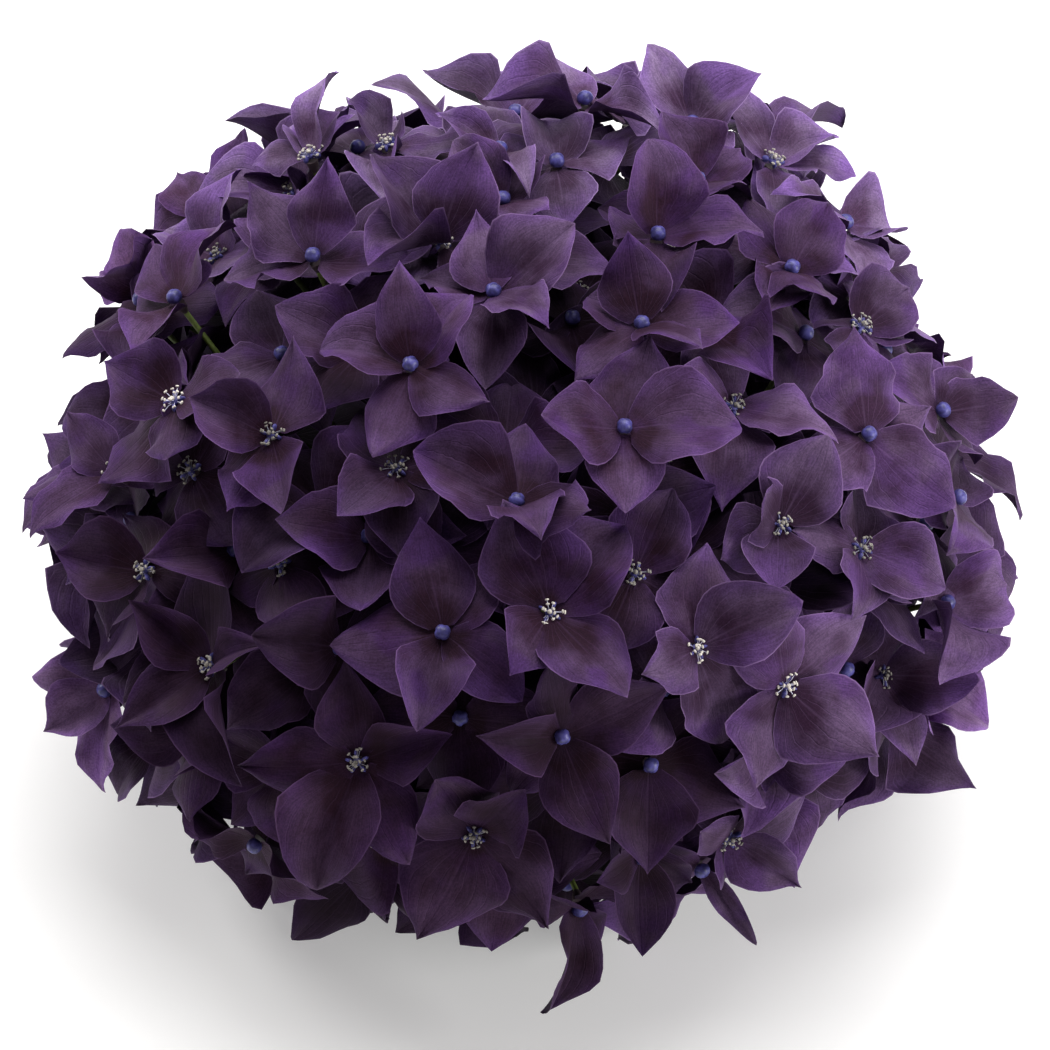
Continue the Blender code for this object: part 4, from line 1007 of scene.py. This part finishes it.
def limb_tree():
    """Turns each polyline into a ribbed tube whose radius follows the points' attribute."""
    if "ribbed_limbs" in bpy.data.node_groups:
        return bpy.data.node_groups["ribbed_limbs"]
    tree, given = new_tree("ribbed_limbs", ("Sides", "NodeSocketInt"), ("Ribs", "NodeSocketInt"),
                           ("Rib depth", "NodeSocketFloat"), ("Finish", "NodeSocketMaterial"))
    line = add(tree, "GeometryNodeMeshToCurve", None, (given.outputs["Geometry"],))
    thick = add(tree, ATTRIBUTE, {"data_type": "FLOAT"}, {"Name": "thick"})
    sized = add(tree, "GeometryNodeSetCurveRadius", None, {"Curve": line, "Radius": thick})
    ring = add(tree, "GeometryNodeCurvePrimitiveCircle", None, {
        "Resolution": given.outputs["Sides"], "Radius": 1.0})
    round_share = add(tree, "GeometryNodeSplineParameter")
    marked = add(tree, "GeometryNodeStoreNamedAttribute", {"data_type": "FLOAT", "domain": "POINT"},
                 {"Geometry": ring, "Name": "round", "Value": round_share})
    body = add(tree, "GeometryNodeCurveToMesh", None, {
        "Curve": sized, "Profile Curve": marked, "Scale": thick, "Fill Caps": True})
    share = add(tree, ATTRIBUTE, {"data_type": "FLOAT"}, {"Name": "round"})
    beats = add(tree, MATH, TIMES, (share, given.outputs["Ribs"]))
    angle = add(tree, MATH, TIMES, (beats, math.tau))
    wave = add(tree, MATH, {"operation": "SINE"}, (angle,))
    depth = add(tree, MATH, TIMES, (wave, given.outputs["Rib depth"]))
    outward = add(tree, "GeometryNodeInputNormal")
    push = add(tree, "ShaderNodeVectorMath", {"operation": "SCALE"}, {0: outward, "Scale": depth})
    ribbed = add(tree, "GeometryNodeSetPosition", None, {"Geometry": body, "Offset": push})
    smooth = add(tree, "GeometryNodeSetShadeSmooth", None, (ribbed,))
    close_tree(tree, given, smooth)
    return tree


def link_mesh(name, points, faces=(), edges=()):
    """A new mesh object in the scene."""
    mesh = bpy.data.meshes.new(name)
    mesh.from_pydata([tuple(p) for p in points], list(edges), list(faces))
    thing = bpy.data.objects.new(name, mesh)
    bpy.context.scene.collection.objects.link(thing)
    return thing


def plain_mesh(source, name, tree, values):
    """Run a Geometry Nodes tree on an object and keep its result as a plain mesh object."""
    nodes = source.modifiers.new("nodes", "NODES")
    nodes.node_group = tree
    for item in tree.interface.items_tree:
        if item.in_out == "INPUT" and item.name in values:
            nodes[item.identifier] = values[item.name]
    graph = bpy.context.evaluated_depsgraph_get()
    made = bpy.data.meshes.new_from_object(source.evaluated_get(graph))
    bpy.data.objects.remove(source)
    made.name = name
    thing = bpy.data.objects.new(name, made)
    bpy.context.scene.collection.objects.link(thing)
    return thing


def form_collection(name, shapes, uvs=None):
    """A collection of form meshes, off the scene, named so that their order is their number."""
    home = bpy.data.collections.new(name)
    for k, (points, faces) in enumerate(shapes):
        mesh = bpy.data.meshes.new("%s_%02d" % (name, k))
        mesh.from_pydata([tuple(p) for p in points], [], faces)
        if uvs is not None:
            layer = mesh.uv_layers.new(name="sepal")
            for loop in mesh.loops:
                layer.data[loop.index].uv = uvs[loop.vertex_index]
        mesh.polygons.foreach_set("use_smooth", [True] * len(mesh.polygons))
        home.objects.link(bpy.data.objects.new(mesh.name, mesh))
    return home


def point_cloud(name, rows):
    """A mesh of loose points, each with the form, turn, size and tone that it deals out."""
    thing = link_mesh(name, [row[0] for row in rows])
    data = thing.data.attributes
    data.new("form", "INT", "POINT").data.foreach_set("value", [row[1] for row in rows])
    turns = [value for row in rows for value in row[2].to_quaternion()]
    data.new("turn", "QUATERNION", "POINT").data.foreach_set("value", turns)
    sizes = [value for row in rows for value in row[3]]
    data.new("size", "FLOAT_VECTOR", "POINT").data.foreach_set("vector", sizes)
    data.new("tone", "FLOAT", "POINT").data.foreach_set("value", [row[4] for row in rows])
    return thing


def sepal_uvs():
    """A sepal's own map: out along it and across it, one pair for each point of a form."""
    uvs = []
    for out in SEPAL_ROWS[:-1]:
        uvs += [(out, (share + 1) / 2) for share in SEPAL_COLUMNS]
    return uvs + [(1.0, 0.5)]


def add_bake_map(mesh, count):
    """A second map that gives each sepal its own cell, named OFBake."""
    cells = math.ceil(math.sqrt(count))
    own = np.zeros(len(mesh.loops) * 2)
    mesh.uv_layers["sepal"].data.foreach_get("uv", own)
    own = own.reshape(count, -1, 2)
    number = np.arange(count)
    corner = np.stack([number % cells, number // cells], 1)[:, None]
    cell = (corner + CELL_EDGE + own * (1 - 2 * CELL_EDGE)) / cells
    layer = mesh.uv_layers.new(name="OFBake")
    layer.data.foreach_set("uv", cell.reshape(-1))


def keep_on_table(mesh, least=LEAST_HEIGHT):
    """Points that would lie under the table are laid on it."""
    flat = np.zeros(len(mesh.vertices) * 3)
    mesh.vertices.foreach_get("co", flat)
    flat = flat.reshape(-1, 3)
    flat[:, 2] = np.maximum(flat[:, 2], least)
    mesh.vertices.foreach_set("co", flat.reshape(-1))
    mesh.update()


def lump(length, radius, rings, sides, lobes=0, groove=0.0, squash=1.0):
    """A closed rounded body along +Z from the origin, with grooves from pole to pole."""
    points = [Vector((0, 0, 0))]
    for r in range(1, rings):
        slope = math.pi * r / rings
        for s in range(sides):
            turn = math.tau * s / sides
            cut = groove * abs(math.cos(lobes * turn / 2)) ** GROOVE_POWER
            reach = radius * math.sin(slope) * (1 - cut)
            points.append(Vector((reach * math.cos(turn), reach * math.sin(turn) * squash,
                                  length * (1 - math.cos(slope)) / 2)))
    points.append(Vector((0, 0, length)))
    faces = [(0, 1 + (s + 1) % sides, 1 + s) for s in range(sides)]
    for r in range(rings - 2):
        for s in range(sides):
            a, b = 1 + r * sides + s, 1 + r * sides + (s + 1) % sides
            faces.append((a, b, b + sides, a + sides))
    last = len(points) - 1
    start = last - sides
    faces += [(start + s, start + (s + 1) % sides, last) for s in range(sides)]
    return points, faces


def moved(shape, matrix):
    """A shape with its points moved by a matrix."""
    return [matrix @ p for p in shape[0]], shape[1]


def joined(shapes):
    """Several shapes as one list of points and faces."""
    points, faces = [], []
    for own_points, own_faces in shapes:
        start = len(points)
        points += own_points
        faces += [tuple(start + v for v in face) for face in own_faces]
    return points, faces


def stamen_places(seed):
    """Directions that the stamens of one opened floret lean to, as tip points from its middle."""
    rng = random.Random(seed)
    tips = []
    for k in range(STAMENS):
        turn = k * GOLDEN_ANGLE + rng.uniform(-STAMEN_STRAY, STAMEN_STRAY)
        lean = math.radians(rng.uniform(*STAMEN_LEANS))
        reach = rng.uniform(*STAMEN_REACHES)
        tips.append(Vector((math.cos(turn) * math.sin(lean), math.sin(turn) * math.sin(lean),
                            math.cos(lean))) * reach)
    return tips


def thread(start, end):
    """A thin stamen thread with a slight bow."""
    along = (end - start).normalized()
    side = along.orthogonal().normalized()
    across = along.cross(side)
    middle = start.lerp(end, 0.5) + Vector((0, 0, THREAD_BOW)) * (end - start).length
    points, faces = [], []
    for centre in (start, middle, end):
        for s in range(THREAD_SIDES):
            turn = math.tau * s / THREAD_SIDES
            points.append(centre + (side * math.cos(turn) + across * math.sin(turn)) * THREAD_RADIUS)
    for r in range(2):
        for s in range(THREAD_SIDES):
            a, b = r * THREAD_SIDES + s, r * THREAD_SIDES + (s + 1) % THREAD_SIDES
            faces.append((a, b, b + THREAD_SIDES, a + THREAD_SIDES))
    faces += [tuple(range(THREAD_SIDES - 1, -1, -1)), tuple(range(2 * THREAD_SIDES, 3 * THREAD_SIDES))]
    return points, faces


def floret_middles(context):
    """Closed and opened florets, as the place, form, turn, scale and tone of each middle; the stamens'
    tone is partly painted light and shade.
    """
    head = grown_head(context)
    closed, opened = [], []
    for k, floret in enumerate(head.florets):
        first = floret.ways[0]
        turned = Matrix((first, floret.facing.cross(first), floret.facing)).transposed()
        rows = opened if floret.opened else closed
        # How light the stamens are: partly fresh against faded, partly painted light and shade
        fresh = OPEN_FLORETS.get(floret.name, DULL_AND_SHADED_STAMENS)
        rows.append((floret.centre + floret.facing * MIDDLE_RISE, k % len(MIDDLE_LOBES), turned,
                     (1, 1, 1), fresh))
    return closed, opened


def sepal_tone(rng, floret):
    """How light a floret's sepals are: a random tone, times painted shade that deepens with depth,
    times the painted light and shade of the named florets.
    """
    floret_lightness = rng.uniform(*(NAMED_TONES if floret.name else FREE_TONES))
    return floret_lightness * PAINTED_LIGHT_AND_SHADE.get(floret.name, 1.0) * (SURFACE_TONE - floret.depth / PAINTED_SHADE_DEPTH)


def deal_out(name, rows, forms, finish):
    """Put the forms of a collection on points, as one piece."""
    piece = plain_mesh(point_cloud(name + "_points", rows), name, scatter_tree(),
                       {"Forms": forms, "Finish": finish})
    keep_on_table(piece.data)
    return piece


def ride_root(piece):
    """Every piece is part of the one body."""
    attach(piece, "root")


class HYDRANGEA_OT_sepals(bpy.types.Operator):
    """Sepals of every spray, veined and folded, in the places of the solids"""
    bl_idname = "hydrangea.sepals"
    bl_label = "Sepals"

    def execute(self, context):
        head = grown_head(context)
        colours = context.scene.hydrangea_colours
        # Four sepal finishes from light to dark, partly own tones and partly painted light and shade
        tones = {name: sepal_finish("fresh_sepal_" + name, list(getattr(colours, name + "_claw")),
                                    list(getattr(colours, name + "_edge")))
                 for name in ("lilac", "violet", "plum", "wine")}
        rng = random.Random(context.scene.hydrangea_florets.form_seed)
        faces = grid_faces([len(SEPAL_COLUMNS)] * (len(SEPAL_ROWS) - 1) + [1])
        shapes = [([p for row in form.rows for p in row], faces) for form in head.forms]
        forms = form_collection("sepal_forms", shapes, sepal_uvs())
        for name in head.hubs:
            rows = []
            for floret in head.florets:
                if floret.spray == name:
                    # Lightness of the floret: a random tone times painted light and shade
                    floret_lightness = sepal_tone(rng, floret)
                    for form, turned, place, length, breadth in floret.sepals:
                        rows.append((place, form, turned, (length, length * breadth, length),
                                     floret_lightness * rng.uniform(*SEPAL_TONES)))
            piece = deal_out("sepals_" + name, rows, forms, tones[SPRAY_TONE_AND_LIGHT[name]])
            add_bake_map(piece.data, len(rows))
            ride_root(piece)
            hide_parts("spray_" + name)
        return {"FINISHED"}


class HYDRANGEA_OT_middles(bpy.types.Operator):
    """Blue buds, and the stamens and tiny petals of the opened florets"""
    bl_idname = "hydrangea.middles"
    bl_label = "Buds and stamens"

    def execute(self, context):
        settings = context.scene.hydrangea_florets
        colours = context.scene.hydrangea_colours
        closed, opened = floret_middles(context)
        radius = settings.bud_radius
        blue = soft_finish("waxy_blue_bud", colours.bud, 0.45, 1.2 * MM, 0.4)
        petal_blue = soft_finish("thin_blue_petal", colours.bud, 0.6, 0.8 * MM, 0.5)
        thread_white = soft_finish("pale_stamen_thread", linear("B4B2C6"), 0.7, 1.0 * MM, 0.55, True)
        anther_cream = soft_finish("mealy_cream_anther", colours.anther, 0.65, 0.5 * MM, 0.8, True)
        buds = [lump(radius * BUD_TALL, radius, rings=8, sides=20, lobes=count, groove=BUD_GROOVE)
                for count in MIDDLE_LOBES]
        forms = form_collection("blue_buds_forms", buds)
        ride_root(deal_out("blue_buds", closed, forms, blue))

        reach = settings.stamen_length
        petals, threads, anthers = [], [], []
        for k, count in enumerate(MIDDLE_LOBES):
            tips = stamen_places(k)
            threads.append(joined([thread(THREAD_FOOT, tip * reach) for tip in tips]))
            style = lump(STYLE_LENGTH, STYLE_RADIUS, rings=4, sides=8)
            grains = [moved(style, Matrix.Translation(STYLE_FOOT))]
            for tip in tips:
                turned = tip.to_track_quat("X", "Z").to_matrix().to_4x4()
                grain = lump(ANTHER_LENGTH, ANTHER_RADIUS, rings=4, sides=8, lobes=2, groove=0.3,
                             squash=1.5)
                grains.append(moved(grain, Matrix.Translation(tip * reach) @ turned))
            anthers.append(joined(grains))
            leaves = [lump(DOME_LENGTH, radius * DOME_SHARE, rings=5, sides=10)]
            for j in range(count):
                leaf = lump(PETAL_LENGTH, PETAL_RADIUS, rings=5, sides=8, squash=0.45)
                turn = Matrix.Rotation(math.tau * j / count, 4, "Z")
                lean = Matrix.Rotation(PETAL_LEAN, 4, "Y")
                leaves.append(moved(leaf, turn @ Matrix.Translation(PETAL_FOOT) @ lean))
            petals.append(joined(leaves))
        for name, shapes, finish in (("tiny_petals", petals, petal_blue),
                                     ("stamen_threads", threads, thread_white),
                                     ("anthers", anthers, anther_cream)):
            forms = form_collection(name + "_forms", shapes)
            ride_root(deal_out(name, opened, forms, finish))
        return {"FINISHED"}


def limbs(name, lines, finish):
    """Ribbed tubes along lines of (point, radius) pairs, as one piece."""
    sides, ribs, depth = LIMB_SHAPES[name]
    points, radii, edges = [], [], []
    for line in lines:
        start = len(points)
        points += [p for p, _ in line]
        radii += [r for _, r in line]
        edges += [(start + k, start + k + 1) for k in range(len(line) - 1)]
    source = link_mesh(name + "_lines", points, edges=edges)
    source.data.attributes.new("thick", "FLOAT", "POINT").data.foreach_set("value", radii)
    return plain_mesh(source, name, limb_tree(), {"Sides": sides, "Ribs": ribs, "Rib depth": depth,
                                                  "Finish": finish})


def pedicel_line(hub, floret):
    """A pedicel's bowed way from the hub up to the cup under its floret."""
    below = floret.centre - floret.facing * CUP_DROP
    bend = below - floret.facing * (below - hub).length * PEDICEL_BEND
    line = []
    for k in range(PEDICEL_STEPS + 1):
        t = k / PEDICEL_STEPS
        way = hub * (1 - t) ** 2 + bend * 2 * t * (1 - t) + below * t * t
        line.append((way, PEDICEL_RADIUS))
    return line


def cup_line(floret):
    """The cup that holds a floret's sepals, from the pedicel's end to the sepals' claws."""
    below = floret.centre - floret.facing * CUP_DROP
    end = floret.centre - floret.facing * CUP_END
    return [(below, PEDICEL_RADIUS)] + [(below.lerp(end, t), radius) for t, radius in CUP_LINE]


def ray_line(name, hub):
    """The line that a ray's solid follows, from its foot by the stalk to its tip."""
    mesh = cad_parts["ray_" + name].data
    points = sorted([v.co.copy() for v in mesh.vertices], key=lambda p: (p - hub).length)
    tip = sum(points[:RAY_RING], Vector()) / RAY_RING
    foot = sum(points[-RAY_RING:], Vector()) / RAY_RING
    return foot, tip


class HYDRANGEA_OT_stems(bpy.types.Operator):
    """Stalk, rays and pedicels, with ribs and pores"""
    bl_idname = "hydrangea.stems"
    bl_label = "Stalk, rays and pedicels"

    def execute(self, context):
        head = grown_head(context)
        stalk_green = list(context.scene.hydrangea_colours.stalk)
        green = stem_finish("ribbed_green_stalk", stalk_green)
        young = stem_finish("smooth_green_ray", [c * YOUNG_SHADE for c in stalk_green[:3]] + [1.0])
        purple = soft_finish("purple_green_cup", linear("4A3C42"), 0.6, 0.8 * MM, 0.55)
        heights = [STALK_HEIGHT * k / STALK_STEPS for k in range(STALK_STEPS + 1)]
        stalk = limbs("stalk", [[(stalk_point(z), stalk_radius(z)) for z in heights]], green)
        keep_on_table(stalk.data, 0.0)
        ride_root(stalk)
        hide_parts("flower_stalk")

        rays, stems = [], []
        for name, hub in head.hubs.items():
            foot, tip = ray_line(name, hub)
            narrows = RAY_TIP_RADIUS - RAY_FOOT_RADIUS
            rays.append([(foot.lerp(tip, k / RAY_STEPS), RAY_FOOT_RADIUS + narrows * k / RAY_STEPS)
                         for k in range(RAY_STEPS + 1)])
            onward = (tip - foot).normalized()
            stems.append([(tip + onward * GAP, RAY_TIP_RADIUS),
                          (tip.lerp(hub, STEM_NARROWS), RAY_TIP_RADIUS),
                          (hub + onward * PAST_HUB, STEM_END_RADIUS)])
        ray_piece = limbs("rays", rays, young)
        ride_root(ray_piece)
        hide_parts(*["ray_" + name for name in head.hubs])

        stems += [pedicel_line(head.hubs[f.spray], f) for f in head.florets]
        ride_root(limbs("pedicels", stems, young))
        cups = [cup_line(floret) for floret in head.florets]
        ride_root(limbs("cups", cups, purple))
        return {"FINISHED"}


class HYDRANGEA_OT_stage(bpy.types.Operator):
    """Pale table, soft daylight and the camera of the photograph"""
    bl_idname = "hydrangea.stage"
    bl_label = "Table, light and camera"

    def execute(self, context):
        settings = context.scene.hydrangea_light
        scene = context.scene
        corners = [(x * TABLE_HALF, y * TABLE_HALF, 0) for x, y in ((-1, -1), (1, -1), (1, 1), (-1, 1))]
        floor = link_mesh("table", corners, [(0, 1, 2, 3)])
        floor.data.materials.append(floor_finish())

        for name, spot, size, share in LAMPS:
            light = bpy.data.lights.new(name, "AREA")
            light.shape = "DISK"
            light.size = size
            light.energy = settings.key_power * share
            lamp = bpy.data.objects.new(name, light)
            lamp.location = spot
            lamp.rotation_euler = (HEAD_MIDDLE - spot).to_track_quat("-Z", "Y").to_euler()
            scene.collection.objects.link(lamp)

        world = bpy.data.worlds.new("soft_daylight")
        world.use_nodes = True
        sky = world.node_tree.nodes["Background"]
        sky.inputs["Color"].default_value = linear("FFF6F8")
        sky.inputs["Strength"].default_value = settings.fill
        scene.world = world

        lens = bpy.data.cameras.new("camera")
        lens.lens = lens.sensor_width * settings.camera_distance / settings.frame_width
        lens.clip_start, lens.clip_end = CLIP
        camera = bpy.data.objects.new("camera", lens)
        scene.collection.objects.link(camera)
        # The head's middle shows a little left of and above the picture's middle
        aim = HEAD_MIDDLE + VIEW_RIGHT * AIM_RIGHT - VIEW_UP * AIM_DOWN
        camera.location = aim + VIEW_NEAR * settings.camera_distance
        camera.rotation_euler = (-VIEW_NEAR).to_track_quat("-Z", "Y").to_euler()
        scene.camera = camera
        scene.view_settings.view_transform = "Standard"
        return {"FINISHED"}


class HYDRANGEA_PT_panel(bpy.types.Panel):
    """Lists the pieces of the flower head"""
    bl_label = "Hydrangea flower head"
    bl_idname = "HYDRANGEA_PT_panel"
    bl_space_type = "VIEW_3D"
    bl_region_type = "UI"
    bl_category = "Hydrangea"

    def draw(self, context):
        scene = context.scene
        for settings in (scene.hydrangea_florets, scene.hydrangea_colours, scene.hydrangea_light):
            for key in settings.bl_rna.properties.keys():
                if key not in ("rna_type", "name"):
                    self.layout.prop(settings, key)
        for operator in OPERATORS:
            self.layout.operator(operator.bl_idname)


OPERATORS = (HYDRANGEA_OT_sepals, HYDRANGEA_OT_middles, HYDRANGEA_OT_stems, HYDRANGEA_OT_stage)
CLASSES = (FloretSettings, ColourSettings, LightSettings) + OPERATORS + (HYDRANGEA_PT_panel,)


def register():
    for kind in CLASSES:
        bpy.utils.register_class(kind)
    bpy.types.Scene.hydrangea_florets = PointerProperty(type=FloretSettings)
    bpy.types.Scene.hydrangea_colours = PointerProperty(type=ColourSettings)
    bpy.types.Scene.hydrangea_light = PointerProperty(type=LightSettings)


def unregister():
    del bpy.types.Scene.hydrangea_light
    del bpy.types.Scene.hydrangea_colours
    del bpy.types.Scene.hydrangea_florets
    for kind in reversed(CLASSES):
        bpy.utils.unregister_class(kind)


def main():
    register()
    bpy.ops.hydrangea.sepals()
    bpy.ops.hydrangea.middles()
    bpy.ops.hydrangea.stems()
    bpy.ops.hydrangea.stage()


if __name__ == "__main__":
    main()
